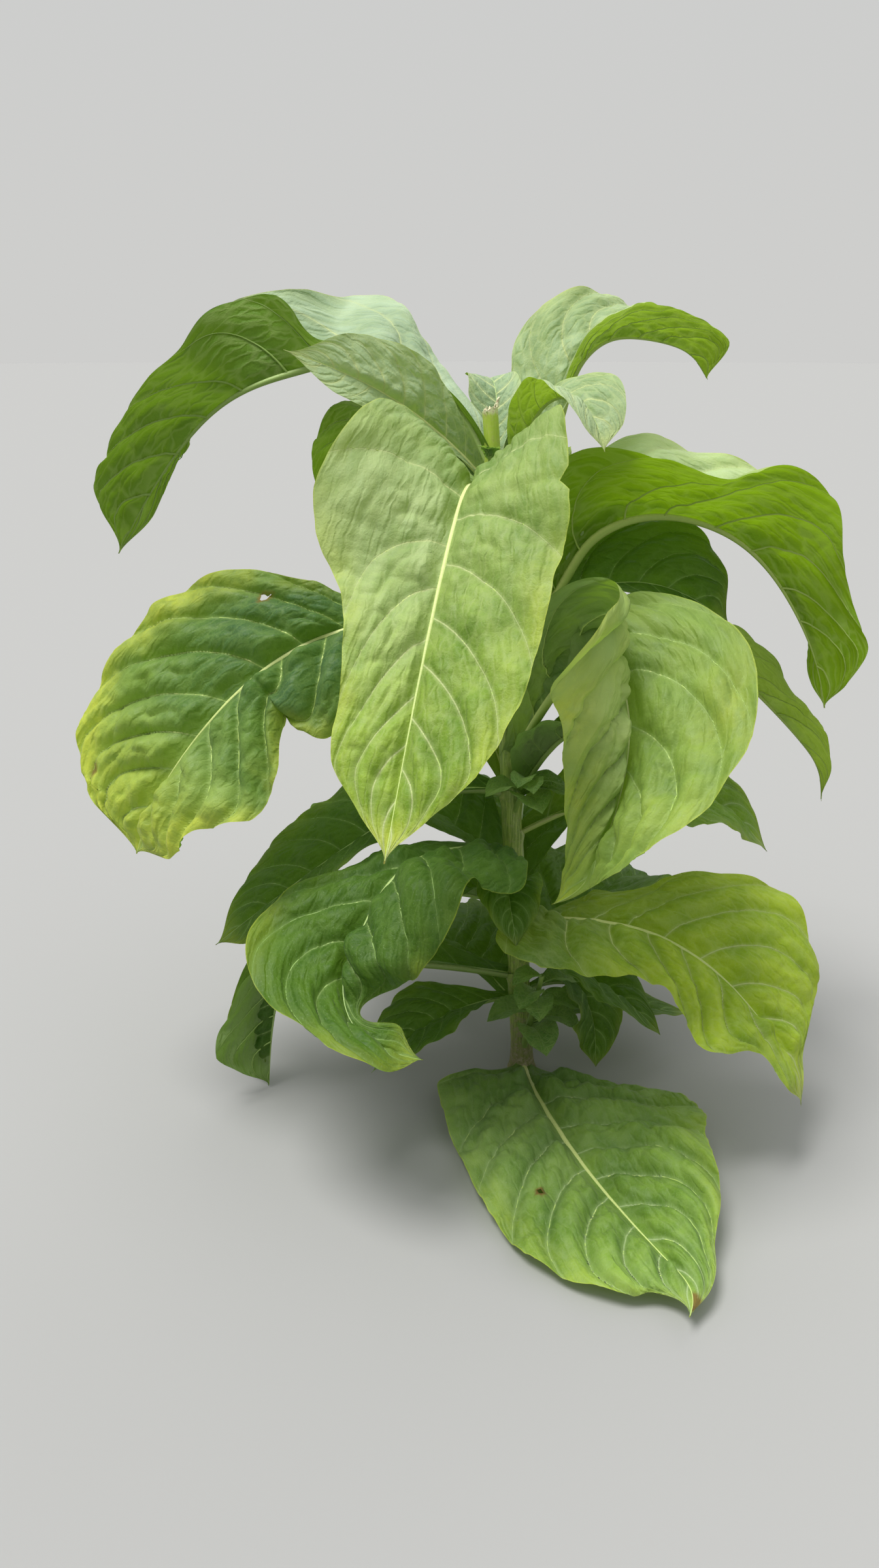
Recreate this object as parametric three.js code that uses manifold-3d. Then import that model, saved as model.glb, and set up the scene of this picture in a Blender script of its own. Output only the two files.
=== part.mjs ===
// Tobacco plant, topped, rooted in level ground. Millimetres, +Z up.
// The origin is on the ground at the centre of the stem's foot. -Y faces the viewer.
import * as THREE from 'three';
import { mergeVertices } from 'three/addons/utils/BufferGeometryUtils.js';
import Module from 'manifold-3d';

const wasm = await Module();
wasm.setup();

// Stem: a tapering stalk with a slight lean, cut off flat at the ground and roughly at the top.
const stemHeight = 1000;
const stemFootRadius = 17;
const stemTopRadius = 10;
const rootFlare = 6;
const flareHeight = 14;
const stemLean = 65;
const leanPower = 1.15;
const stemSides = 12;
const stemRings = 18;
const ringBunching = 1.3;
const cutSlope = 0.35;

// Leaves: a blade is a hundredth of its length thick, and thicker over its midrib.
const thicknessRatio = 0.01;
const ribDepth = 4.5;
const stemClearance = 0.3;
const bladeRows = 18;
const plainRows = 12;
const bladeColumns = 4;
const midribSteps = 120;
const tipWidth = 0.004;
const midribInset = 0.6;
const degree = Math.PI / 180;

// A leaf whose midrib arches higher than this off its chord is two pieces, parted at the top of the arch.
const archLimit = 115;
const partingGap = 0.4;
const partingReach = 220;

// Outline of a plain leaf: a narrow winged base, widest before the middle, and a drawn-out tip.
const widestPlace = 0.42;
const wingShare = 0.14;
const wingPower = 1.7;
const tipPower = 2.3;
const tipDraw = 0.4;
const tipDrawPower = 5;

// Waves of the margins: they fade towards the midrib and both ends, and differ from side to side.
const waveEdgePower = 3;
const waveEndPower = 0.6;
const waveSideShift = 0.37;

// Side shoots and their small leaves.
const stalkSides = 8;
const goldenTurn = 2.4;
const smallLeafColumns = 2;
const smallLeafRows = 6;
const smallLeafThickness = 0.03;
const smallLeafRuffle = 1;
const smallLeafDroop = 60;
const smallLeafShrink = 0.45;

// Each leaf names where it leaves the stem and its length. Its shape is given at stations along it,
// [place from 0 to 1, values]: headings and slopes steer the midrib, in degrees, rolls turn the blade
// about it, folds raise its [right, left] halves, cups curl them on, and halves are the half widths in mm.
// Right and left are as seen along the leaf from the stem.
const leaves = {
  leaf_front: {
    stem: 790, length: 699, headings: [[0, -106], [1, -106]],
    slopes: [[0, 51], [0.25, 31], [0.33, -22], [0.42, -42], [1, -53]],
    folds: [[0, 47, 67], [0.34, 42, 33], [0.55, 15, 6], [1, 16, 7]],
    halves: [[0, 19, 24], [0.16, 30, 25], [0.33, 151, 154], [0.42, 167, 150], [0.5, 141, 141],
      [0.6, 101, 134], [0.72, 84, 121], [0.85, 76, 96], [0.93, 36, 40], [1, 0, 0]],
    ruffle: 6, waves: 3.2, phase: 0.1,
  },
  leaf_arch_left: {
    stem: 930, length: 693, headings: [[0, 156.6], [0.357, 169.4], [1, 194]],
    slopes: [[0, 65], [0.16, 39], [0.285, 25.5], [0.357, -17], [0.486, -16], [0.732, -48], [1, -60]],
    rolls: [[0, 13], [0.571, 9], [0.786, 22], [1, 40]],
    folds: [[0, 45, 40], [0.22, 27, 5], [0.38, 45, 8], [0.464, 77, 65], [0.54, 80, 85], [0.636, 40, 39],
      [0.786, 10, 26], [1, 0, 7]],
    halves: [[0, 20, 20], [0.14, 34, 22], [0.268, 78, 32], [0.357, 146, 57], [0.464, 113, 97],
      [0.625, 113, 109], [0.786, 76, 101], [0.893, 48, 92], [1, 0, 0]],
    ruffle: 5, waves: 3.5, phase: 0.3,
  },
  leaf_young_left: {
    stem: 902, length: 335, headings: [[0, 208], [1, 209]],
    slopes: [[0, 46], [0.3, 38], [1, 18]],
    rolls: [[0, -70], [1, -74]],
    folds: [[0, 35, 35], [0.5, 12, 18], [1, 5, 8]],
    halves: [[0, 10, 10], [0.25, 32, 12], [0.5, 64, 30], [0.75, 50, 34], [1, 0, 0]],
    ruffle: 3, waves: 3, phase: 0.6,
  },
  leaf_arch_right: {
    stem: 672, length: 675, headings: [[0, -4], [1, -5]],
    slopes: [[0, 53], [0.22, 62], [0.33, 28], [0.44, -2], [0.55, -24], [0.7, -51], [0.85, -64], [1, -77]],
    rolls: [[0, 5], [0.6, -3], [0.75, -28], [0.87, -30], [1, -54]],
    folds: [[0, 50, 50], [0.3, 63, 42], [0.4, 36, 41], [0.5, 28, 31], [0.6, 47, 37], [0.67, 47, 25],
      [0.75, 50, 40], [0.87, 28, 33], [1, -1, 2]],
    halves: [[0, 20, 20], [0.2, 64, 55], [0.4, 148, 137], [0.6, 146, 147], [0.74, 85, 98], [0.81, 70, 58],
      [0.88, 76, 57], [0.95, 37, 19], [1, 0, 0]],
    ruffle: 5, waves: 3, phase: 0.2,
  },
  leaf_left: {
    stem: 645, length: 678, headings: [[0, 196], [1, 191]],
    slopes: [[0, 46], [0.22, 12], [0.36, -12], [0.6, -41], [0.85, -58], [1, -72]],
    rolls: [[0, 0], [0.3, -36], [1, -41]],
    folds: [[0, 29, 35], [0.5, 12, -2], [1, 4, 13]],
    cups: [[0, 0, 0], [0.5, 0, -18], [1, 0, -1]],
    halves: [[0, 36, 22], [0.3, 38, 120], [0.5, 149, 130], [0.57, 171, 85], [0.65, 176, 135],
      [0.75, 176, 152], [0.86, 166, 103], [0.94, 111, 87], [1, 0, 0]],
    ruffle: 7, waves: 4, phase: 0.4,
  },
  leaf_right: {
    stem: 520, length: 623, headings: [[0, -63], [0.4, -53], [0.7, -116], [1, -174]],
    slopes: [[0, 54], [0.2, 52], [0.38, 32], [0.48, -34], [0.58, -58], [0.88, -65], [1, -21]],
    folds: [[0, 40, 40], [0.3, 60, 45], [0.42, 81, 38], [0.55, 40, 28], [0.75, 51, 18], [1, 7, 9]],
    halves: [[0, 18, 18], [0.2, 50, 53], [0.3, 88, 58], [0.42, 103, 110], [0.53, 175, 159],
      [0.6, 133, 157], [0.69, 98, 138], [0.77, 66, 120], [0.86, 45, 74], [0.94, 42, 15], [1, 0, 0]],
    ruffle: 5, waves: 3.5, phase: 0.9,
  },
  leaf_low_right: {
    stem: 268, length: 546, headings: [[0, -38], [1, -27]],
    slopes: [[0, 18], [0.3, 7], [0.5, -19], [0.7, -43], [0.84, -50], [1, -84]],
    rolls: [[0, 1], [0.3, 24], [1, 16]],
    folds: [[0, 16, -11], [0.5, -1, 16], [1, 15, -3]],
    halves: [[0, 30, 20], [0.12, 147, 59], [0.3, 114, 61], [0.45, 77, 114], [0.6, 93, 160],
      [0.7, 117, 137], [0.8, 53, 108], [0.9, 42, 19], [1, 0, 0]],
    ruffle: 6, waves: 4, phase: 0.15,
  },
  leaf_low_left: {
    stem: 380, length: 559, headings: [[0, -138], [0.6, -124], [0.74, -81], [1, -1]],
    slopes: [[0, 21], [0.25, 8], [0.42, -22], [0.55, -46], [0.75, -32], [1, -12]],
    folds: [[0, 8, 0], [0.25, -15, -4], [0.45, -10, 40], [0.56, 16, 40], [0.66, 20, 56], [0.76, 11, 37],
      [0.86, 19, 34], [1, 3, 10]],
    cups: [[0, 0, 0], [0.25, 0, -18], [0.45, 0, -54], [0.56, 0, -66], [0.66, 0, -109], [0.76, 0, -77],
      [0.86, 0, -19], [1, 0, 0]],
    halves: [[0, 18, 18], [0.12, 32, 98], [0.2, 46, 128], [0.32, 75, 95], [0.45, 92, 151],
      [0.66, 134, 105], [0.8, 86, 18], [0.92, 63, 40], [1, 0, 0]],
    ruffle: 5, waves: 3.5, phase: 0.5,
  },
  leaf_ground: {
    stem: 16, length: 568, headings: [[0, -82], [0.6, -65], [0.85, -63], [1, -114]],
    slopes: [[0, 2], [0.15, 6], [0.5, -2], [1, 2]],
    folds: [[0, 16, -3], [0.3, -4, 1], [0.7, -5, 18], [1, -5, 6]],
    halves: [[0, 12, 12], [0.05, 40, 30], [0.14, 150, 95], [0.25, 147, 175], [0.45, 154, 199],
      [0.6, 154, 160], [0.75, 127, 117], [0.88, 66, 47], [1, 0, 0]],
    ruffle: 4, waves: 3.5, phase: 0.7,
  },
  leaf_shade_right: {
    stem: 614, length: 390, headings: [[0, 2], [1, -10]],
    slopes: [[0, 68], [0.3, 54], [0.6, 4], [1, -36]],
    rolls: [[0, 0], [0.3, 30], [1, 34]],
    halves: [[0, 14, 14], [0.2, 24, 40], [0.42, 46, 114], [0.7, 40, 112], [0.9, 20, 66], [1, 0, 0]],
    phase: 0.2,
  },
  leaf_far_right: {
    stem: 566, length: 645, headings: [[0, 9], [1, 5]],
    slopes: [[0, 44], [0.2, 36], [0.42, -8], [0.55, -40], [0.85, -50], [1, -86]],
    folds: [[0, 30, 30], [1, 20, 20]],
    halves: [[0, 18, 18], [0.2, 40, 50], [0.45, 92, 98], [0.7, 84, 84], [0.9, 34, 34], [1, 0, 0]],
    phase: 0.35,
  },
  leaf_mid_right: {
    stem: 405, length: 436, headings: [[0, 8], [1, 8]],
    slopes: [[0, 26], [0.5, -4], [1, -52]],
    rolls: [[0, 0], [0.3, 26], [1, 26]], halfWidth: 95, phase: 0.8,
  },
  leaf_far_left: {
    stem: 468, length: 490, headings: [[0, 191], [1, 191]],
    slopes: [[0, 18], [0.12, 0], [0.3, -28], [1, -37]],
    rolls: [[0, 0], [0.25, -18], [1, -22]],
    folds: [[0, 20, 30], [1, 5, 5]],
    halves: [[0, 18, 18], [0.2, 56, 26], [0.45, 92, 50], [0.7, 84, 66], [0.9, 40, 40], [1, 0, 0]],
    phase: 0.1,
  },
  leaf_foot_left: {
    stem: 170, length: 542, headings: [[0, 188], [1, 188]],
    slopes: [[0, 14], [0.45, 0], [0.62, -20], [0.7, -76], [1, -86]],
    folds: [[0, 25, 25], [0.5, 40, 40], [0.7, 72, 66], [1, 60, 55]],
    halves: [[0, 16, 16], [0.3, 50, 50], [0.7, 62, 66], [0.85, 72, 92], [0.92, 50, 52], [1, 0, 0]],
    ruffle: 3, waves: 3, phase: 0.4,
  },
  leaf_foot_dark: {
    stem: 134, length: 270, headings: [[0, 212], [1, 218]],
    slopes: [[0, 10], [0.5, -8], [1, -28]],
    halves: [[0, 10, 10], [0.25, 28, 18], [0.5, 72, 62], [0.75, 60, 54], [1, 0, 0]],
    ruffle: 4, phase: 0.3,
  },
  leaf_foot_right: {
    stem: 78, length: 270, headings: [[0, 14], [1, 8]],
    slopes: [[0, 12], [0.5, -4], [1, -14]], halfWidth: 58, ruffle: 4, phase: 0.5,
  },
  leaf_inner_right: {
    stem: 456, length: 330, headings: [[0, -26], [1, -52]],
    slopes: [[0, 66], [0.3, 52], [0.6, -10], [1, -66]], halfWidth: 78, ruffle: 4, phase: 0.4,
  },
  leaf_inner_front: {
    stem: 318, length: 172, headings: [[0, -104], [1, -78]],
    slopes: [[0, 36], [0.35, 12], [0.7, -30], [1, -56]], halfWidth: 50, ruffle: 4, phase: 0.7,
  },
  leaf_inner_left: {
    stem: 286, length: 300, headings: [[0, -158], [1, -178]],
    slopes: [[0, 30], [0.4, 6], [0.7, -20], [1, -50]], halfWidth: 74, ruffle: 4, phase: 0.1,
  },
  leaf_inner_low: {
    stem: 208, length: 260, headings: [[0, -48], [1, -24]],
    slopes: [[0, 22], [0.35, -6], [0.7, -24], [1, -46]], halfWidth: 62, ruffle: 4, phase: 0.55,
  },
  leaf_foot_front: {
    stem: 142, length: 216, headings: [[0, -12], [0.5, -40], [1, -88]],
    slopes: [[0, 30], [0.3, 8], [0.5, -56], [1, -78]],
    folds: [[0, 30, 30], [1, 14, 14]],
    halfWidth: 54, ruffle: 6, waves: 4.5, phase: 0.85,
  },
  leaf_young_back: {
    stem: 900, length: 218, headings: [[0, 82], [1, 104]],
    slopes: [[0, 64], [0.5, 60], [0.8, 0], [1, -50]],
    halves: [[0, 8, 8], [0.3, 14, 14], [0.6, 36, 40], [0.8, 32, 36], [1, 0, 0]],
    ruffle: 3, phase: 0.5,
  },
  leaf_young_right: {
    stem: 872, length: 300, headings: [[0, -36], [1, -62]],
    slopes: [[0, 60], [0.3, 72], [0.65, 0], [1, -62]],
    folds: [[0, 36, 40], [1, 18, 26]],
    halves: [[0, 10, 10], [0.2, 14, 14], [0.5, 44, 46], [0.72, 56, 56], [0.9, 32, 32], [1, 0, 0]],
    ruffle: 3, phase: 0.2,
  },


  leaf_arch_back: {
    stem: 850, length: 494, headings: [[0, 48], [1, 16]],
    slopes: [[0, 31], [0.42, 70], [0.58, 34], [0.7, -1], [0.85, -17], [1, -58]],
    folds: [[0, 52, 50], [0.6, 31, 40], [1, 27, 20]],
    halves: [[0, 14, 14], [0.2, 24, 24], [0.35, 64, 58], [0.55, 115, 98], [0.75, 67, 88], [0.92, 67, 36],
      [1, 0, 0]],
    phase: 0.6,
  },
  leaf_back_1: {
    stem: 824, length: 480, headings: [[0, 130], [1, 130]],
    slopes: [[0, 55], [0.3, 35], [0.55, -20], [1, -72]], halfWidth: 122, phase: 0.15,
  },
  leaf_back_2: {
    stem: 742, length: 560, headings: [[0, 92], [1, 88]],
    slopes: [[0, 48], [0.3, 30], [0.55, -20], [1, -70]], halfWidth: 128, phase: 0.75,
  },
  leaf_back_3: {
    stem: 590, length: 590, headings: [[0, 147], [1, 147]],
    slopes: [[0, 36], [0.3, 18], [0.55, -25], [1, -65]], halfWidth: 135, phase: 0.45,
  },
  leaf_back_4: {
    stem: 546, length: 580, headings: [[0, 62], [1, 58]],
    slopes: [[0, 40], [0.3, 22], [0.55, -25], [1, -65]], halfWidth: 135, phase: 0.9,
  },
  leaf_back_5: {
    stem: 478, length: 600, headings: [[0, 112], [1, 108]],
    slopes: [[0, 40], [0.3, 20], [0.55, -22], [1, -60]], halfWidth: 138, phase: 0.25,
  },
  leaf_back_6: {
    stem: 330, length: 470, headings: [[0, 140], [1, 140]],
    slopes: [[0, 30], [0.3, 12], [0.6, -20], [1, -50]], halfWidth: 120, phase: 0.55,
  },
  leaf_back_7: {
    stem: 290, length: 520, headings: [[0, 84], [1, 84]],
    slopes: [[0, 30], [0.3, 12], [0.6, -20], [1, -50]], halfWidth: 128, phase: 0.05,
  },
  leaf_back_8: {
    stem: 190, length: 480, headings: [[0, 48], [1, 48]],
    slopes: [[0, 22], [0.3, 8], [0.6, -14], [1, -38]], halfWidth: 118, phase: 0.65,
  },
  leaf_back_9: {
    stem: 110, length: 420, headings: [[0, 122], [1, 122]],
    slopes: [[0, 14], [0.4, 0], [1, -22]], halfWidth: 105, ruffle: 5, phase: 0.35,
  },
};

// Side shoots rise from the leaf axils; the stub is the stalk that a picked leaf left.
const shoots = {
  shoot_low: {
    stem: 22, heading: -76, slope: 66, length: 210, radius: 6, tipRadius: 3.5,
    leaves: 8, firstLeaf: 0.4, spread: 84, leafLength: 90, leafHalfWidth: 32, leafRise: 30,
  },
  shoot_mid: {
    stem: 428, heading: -70, slope: 56, length: 96, radius: 4.5, tipRadius: 2.5,
    leaves: 6, firstLeaf: 0.5, spread: 76, leafLength: 84, leafHalfWidth: 30, leafRise: 36,
  },
  shoot_top: {
    stem: 912, heading: -104, slope: 46, length: 42, radius: 4, tipRadius: 2.5,
    leaves: 3, firstLeaf: 0.7, spread: 45, leafLength: 38, leafHalfWidth: 13, leafRise: 70,
  },
  leaf_stub: {
    stem: 126, heading: -105, slope: 66, length: 62, radius: 6.5, tipRadius: 5, leaves: 0,
  },
};

const leafDefaults = {
  rolls: [[0, 0], [1, 0]],
  folds: [[0, 30, 30], [1, 10, 10]],
  cups: [[0, 0, 0], [1, 0, 0]],
  halfWidth: 125, ruffle: 7, waves: 3.5, phase: 0, columns: bladeColumns,
  thickness: thicknessRatio, rib: ribDepth,
};

// Value of one column of a station list, by a cubic through the stations that never overshoots them.
function along(stations, place, column) {
  const count = stations.length;
  const s = Math.min(Math.max(place, stations[0][0]), stations[count - 1][0]);
  let k = 0;
  while (k < count - 2 && s > stations[k + 1][0]) k += 1;
  const steepness = (i) => {
    if (i < 0 || i > count - 2) return 0;
    return (stations[i + 1][column] - stations[i][column]) / (stations[i + 1][0] - stations[i][0]);
  };
  const tangent = (i) => {
    const before = steepness(i - 1);
    const after = steepness(i);
    return before * after > 0 ? (2 * before * after) / (before + after) : 0;
  };
  const span = stations[k + 1][0] - stations[k][0];
  const t = (s - stations[k][0]) / span;
  const start = stations[k][column];
  const rise = stations[k + 1][column] - start;
  const t2 = t * t;
  const t3 = t2 * t;
  return start + rise * (3 * t2 - 2 * t3) + span * tangent(k) * (t3 - 2 * t2 + t)
    + span * tangent(k + 1) * (t3 - t2);
}

const stemCentre = (z) => -stemLean * (Math.max(z, 0) / stemHeight) ** leanPower;
const stemRadius = (z) => stemFootRadius + (stemTopRadius - stemFootRadius) * (z / stemHeight)
  + rootFlare * Math.exp(-z / flareHeight);

function plainHalf(place, halfWidth) {
  if (place < widestPlace) {
    const swell = Math.sin((Math.PI / 2) * (place / widestPlace)) ** wingPower;
    return halfWidth * (wingShare + (1 - wingShare) * swell);
  }
  const t = (place - widestPlace) / (1 - widestPlace);
  return halfWidth * (1 - t ** tipPower) * (1 - tipDraw * t ** tipDrawPower);
}

// The midrib as a row of frames: point, direction, leftward and upward axes.
function midribFrames(leaf) {
  const frames = [];
  const point = new THREE.Vector3();
  const step = leaf.length / midribSteps;
  for (let i = 0; i <= midribSteps; i += 1) {
    const s = i / midribSteps;
    const heading = along(leaf.headings, s, 1) * degree;
    const slope = along(leaf.slopes, s, 1) * degree;
    const roll = along(leaf.rolls, s, 1) * degree;
    const onward = new THREE.Vector3(
      Math.cos(slope) * Math.cos(heading), Math.cos(slope) * Math.sin(heading), Math.sin(slope));
    const left = new THREE.Vector3(-Math.sin(heading), Math.cos(heading), 0);
    const up = new THREE.Vector3().crossVectors(onward, left);
    left.applyAxisAngle(onward, roll);
    up.applyAxisAngle(onward, roll);
    if (i === 0 && leaf.start) {
      point.copy(leaf.start);
    } else if (i === 0) {
      const inset = midribInset * stemRadius(leaf.stem);
      point.set(stemCentre(leaf.stem) + inset * Math.cos(heading), inset * Math.sin(heading), leaf.stem);
    } else {
      point.addScaledVector(frames[i - 1].onward.clone().add(onward), step / 2);
    }
    frames.push({ point: point.clone(), onward, left, up });
  }
  return frames;
}

function frameAt(frames, s) {
  const i = Math.min(Math.floor(s * midribSteps), midribSteps - 1);
  const t = s * midribSteps - i;
  const mixed = {};
  for (const key of ['point', 'onward', 'left', 'up']) {
    mixed[key] = frames[i][key].clone().lerp(frames[i + 1][key], t);
  }
  return mixed;
}

// The frame where the midrib stands furthest off the chord from its start to its tip, and how far.
function archTop(frames) {
  const chord = new THREE.Line3(frames[0].point, frames[midribSteps].point);
  const nearest = new THREE.Vector3();
  const top = { height: 0 };
  for (const frame of frames) {
    const height = chord.closestPointToPoint(frame.point, true, nearest).distanceTo(frame.point);
    if (height > top.height) Object.assign(top, { frame, height });
  }
  return top;
}

// A point of the blade's middle surface. across runs from -1, the right margin, to 1, the left one.
function bladePoint(leaf, frames, s, across) {
  const frame = frameAt(frames, s);
  const side = across < 0 ? 1 : 2;
  const v = Math.abs(across);
  const half = Math.max(
    leaf.halves ? along(leaf.halves, s, side) : plainHalf(s, leaf.halfWidth), tipWidth * leaf.length);
  const fold = along(leaf.folds, s, side) * degree;
  const cup = along(leaf.cups, s, side) * degree || 1e-4;
  const angle = fold + cup * v;
  const turns = leaf.waves * s + leaf.phase + waveSideShift * (side - 1);
  const wave = leaf.ruffle * Math.sin(2 * Math.PI * turns)
    * Math.sin(Math.PI * s) ** waveEndPower * v ** waveEdgePower;
  const outward = (half / cup) * (Math.sin(angle) - Math.sin(fold)) - wave * Math.sin(angle);
  const upward = (half / cup) * (Math.cos(fold) - Math.cos(angle)) + wave * Math.cos(angle);
  return frame.point.clone()
    .addScaledVector(frame.left, Math.sign(across) * outward)
    .addScaledVector(frame.up, upward);
}

// A closed mesh as a solid for cutting and joining.
function toSolid(geometry) {
  const bare = geometry.clone();
  bare.deleteAttribute('normal');
  bare.deleteAttribute('uv');
  const merged = mergeVertices(bare, 1e-4);
  return new wasm.Manifold(new wasm.Mesh({
    numProp: 3,
    vertProperties: Float32Array.from(merged.attributes.position.array),
    triVerts: Uint32Array.from(merged.index.array),
  }));
}

function toGeometry(solid) {
  const mesh = solid.getMesh();
  const geometry = new THREE.BufferGeometry();
  geometry.setAttribute('position', new THREE.BufferAttribute(Float32Array.from(mesh.vertProperties), 3));
  geometry.setIndex(new THREE.BufferAttribute(Uint32Array.from(mesh.triVerts), 1));
  geometry.computeVertexNormals();
  return geometry;
}

// The largest pieces that a cut leaves.
function largestPieces(solid, count) {
  return solid.decompose().sort((a, b) => b.volume() - a.volume()).slice(0, count);
}

// Stem: a turned profile bent to the lean, with a slanted cut at the top.
function stemGeometry(extra) {
  const profile = [new THREE.Vector2(0, 0)];
  for (let i = 0; i <= stemRings; i += 1) {
    const z = stemHeight * (i / stemRings) ** ringBunching;
    profile.push(new THREE.Vector2(stemRadius(z) + extra, z));
  }
  profile.push(new THREE.Vector2(0, stemHeight));
  const turned = new THREE.LatheGeometry(profile, stemSides);
  turned.rotateX(Math.PI / 2);
  const position = turned.attributes.position;
  for (let i = 0; i < position.count; i += 1) {
    const z = position.getZ(i);
    const slant = z > stemHeight - 1 ? cutSlope * position.getX(i) : 0;
    position.setX(i, position.getX(i) + stemCentre(z));
    position.setZ(i, z + slant);
  }
  return turned;
}

// Leaf: a flat grid of box faces laid along the midrib.
function leafSolid(leaf, frames) {
  const rows = leaf.rows ?? (leaf.halves ? bladeRows : plainRows);
  const grid = new THREE.BoxGeometry(2, 1, 1, leaf.columns, rows, 1);
  const position = grid.attributes.position;
  const thickness = leaf.thickness * leaf.length;
  const nudge = 1 / midribSteps;
  for (let i = 0; i < position.count; i += 1) {
    const across = -position.getX(i);
    const s = Math.min(Math.max(position.getY(i) + 0.5, 0), 1);
    const middle = bladePoint(leaf, frames, s, across);
    const ahead = bladePoint(leaf, frames, Math.min(s + nudge, 1), across);
    const behind = bladePoint(leaf, frames, Math.max(s - nudge, 0), across);
    const lefter = bladePoint(leaf, frames, s, Math.min(across + 0.25, 1));
    const righter = bladePoint(leaf, frames, s, Math.max(across - 0.25, -1));
    const normal = ahead.sub(behind).cross(lefter.sub(righter)).normalize();
    const rib = position.getZ(i) < 0 ? leaf.rib * (1 - s) * (1 - Math.min(1, 2 * Math.abs(across))) : 0;
    const offset = Math.sign(position.getZ(i)) * (thickness / 2 + rib);
    middle.addScaledVector(normal, offset);
    position.setXYZ(i, middle.x, middle.y, middle.z);
  }
  return toSolid(grid);
}

// Parts a leaf square across its midrib at a frame, into its base and its tip.
function partedLeaf(solid, frame) {
  const plate = new THREE.BoxGeometry(2 * partingReach, 2 * partingReach, partingGap);
  const placed = new THREE.Matrix4().makeBasis(frame.left, frame.up, frame.onward).setPosition(frame.point);
  plate.applyMatrix4(placed);
  const beyond = (piece) => {
    const box = piece.boundingBox();
    const middle = new THREE.Vector3(...box.min).add(new THREE.Vector3(...box.max)).divideScalar(2);
    return middle.sub(frame.point).dot(frame.onward);
  };
  return largestPieces(solid.subtract(toSolid(plate)), 2).sort((a, b) => beyond(a) - beyond(b));
}

// A stalk with a round section, from the stem outward. Its far end is a flat cut.
function stalkSolid(shoot) {
  const profile = [new THREE.Vector2(0, 0), new THREE.Vector2(shoot.radius, 0),
    new THREE.Vector2(shoot.tipRadius, shoot.length), new THREE.Vector2(0, shoot.length)];
  const stalk = new THREE.LatheGeometry(profile, stalkSides);
  const turn = new THREE.Quaternion().setFromUnitVectors(new THREE.Vector3(0, 1, 0), shoot.onward);
  stalk.applyQuaternion(turn);
  stalk.translate(shoot.point.x, shoot.point.y, shoot.point.z);
  return toSolid(stalk);
}

// Side shoot: a stalk with small leaves that climb round it, larger ones below.
function shootSolid(sizes) {
  const heading = sizes.heading * degree;
  const slope = sizes.slope * degree;
  const point = new THREE.Vector3(stemCentre(sizes.stem), 0, sizes.stem);
  const onward = new THREE.Vector3(
    Math.cos(slope) * Math.cos(heading), Math.cos(slope) * Math.sin(heading), Math.sin(slope));
  let solid = stalkSolid({ ...sizes, point, onward });
  for (let k = 0; k < sizes.leaves; k += 1) {
    const climb = sizes.firstLeaf + (1 - sizes.firstLeaf) * (k / Math.max(sizes.leaves - 1, 1));
    const shrink = 1 - smallLeafShrink * (k / sizes.leaves);
    const turn = sizes.heading + sizes.spread * Math.sin(k * goldenTurn);
    const small = {
      ...leafDefaults,
      start: point.clone().addScaledVector(onward, climb * sizes.length - sizes.tipRadius),
      length: sizes.leafLength * shrink,
      halfWidth: sizes.leafHalfWidth * shrink,
      headings: [[0, turn], [1, turn]],
      slopes: [[0, sizes.leafRise], [1, sizes.leafRise - smallLeafDroop]],
      columns: smallLeafColumns, rows: smallLeafRows,
      ruffle: smallLeafRuffle, thickness: smallLeafThickness, rib: 0,
    };
    solid = solid.add(leafSolid(small, midribFrames(small)));
  }
  return solid;
}

const group = new THREE.Group();
const stemMaterial = new THREE.MeshStandardMaterial({ color: 0x9bb04e, roughness: 0.6, metalness: 0 });
const leafMaterial = new THREE.MeshStandardMaterial({ color: 0x7fa63f, roughness: 0.65, metalness: 0 });
const stemCutter = toSolid(stemGeometry(stemClearance));

function addPiece(name, geometry, material) {
  const mesh = new THREE.Mesh(geometry, material);
  mesh.name = name;
  group.add(mesh);
}

addPiece('stem', stemGeometry(0), stemMaterial);

for (const [name, sizes] of Object.entries(leaves)) {
  const leaf = { ...leafDefaults, ...sizes };
  const frames = midribFrames(leaf);
  const [solid] = largestPieces(leafSolid(leaf, frames).subtract(stemCutter), 1);
  const top = archTop(frames);
  if (top.height > archLimit) {
    const [base, tip] = partedLeaf(solid, top.frame);
    addPiece(name, toGeometry(base), leafMaterial);
    addPiece(`${name}_tip`, toGeometry(tip), leafMaterial);
  } else {
    addPiece(name, toGeometry(solid), leafMaterial);
  }
}

for (const [name, sizes] of Object.entries(shoots)) {
  const [solid] = largestPieces(shootSolid(sizes).subtract(stemCutter), 1);
  addPiece(name, toGeometry(solid), leafMaterial);
}

export default group;
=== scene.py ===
# Tobacco plant, topped and rooted in level ground: a leaning stem, large arching leaves and side shoots.
# The frame's solids are thick and plain. Each is replaced here by a thin leaf with veins and quilting,
# grown by the same rule from the same sizes. Sizes are in mm until a mesh is made.
import math

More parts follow.
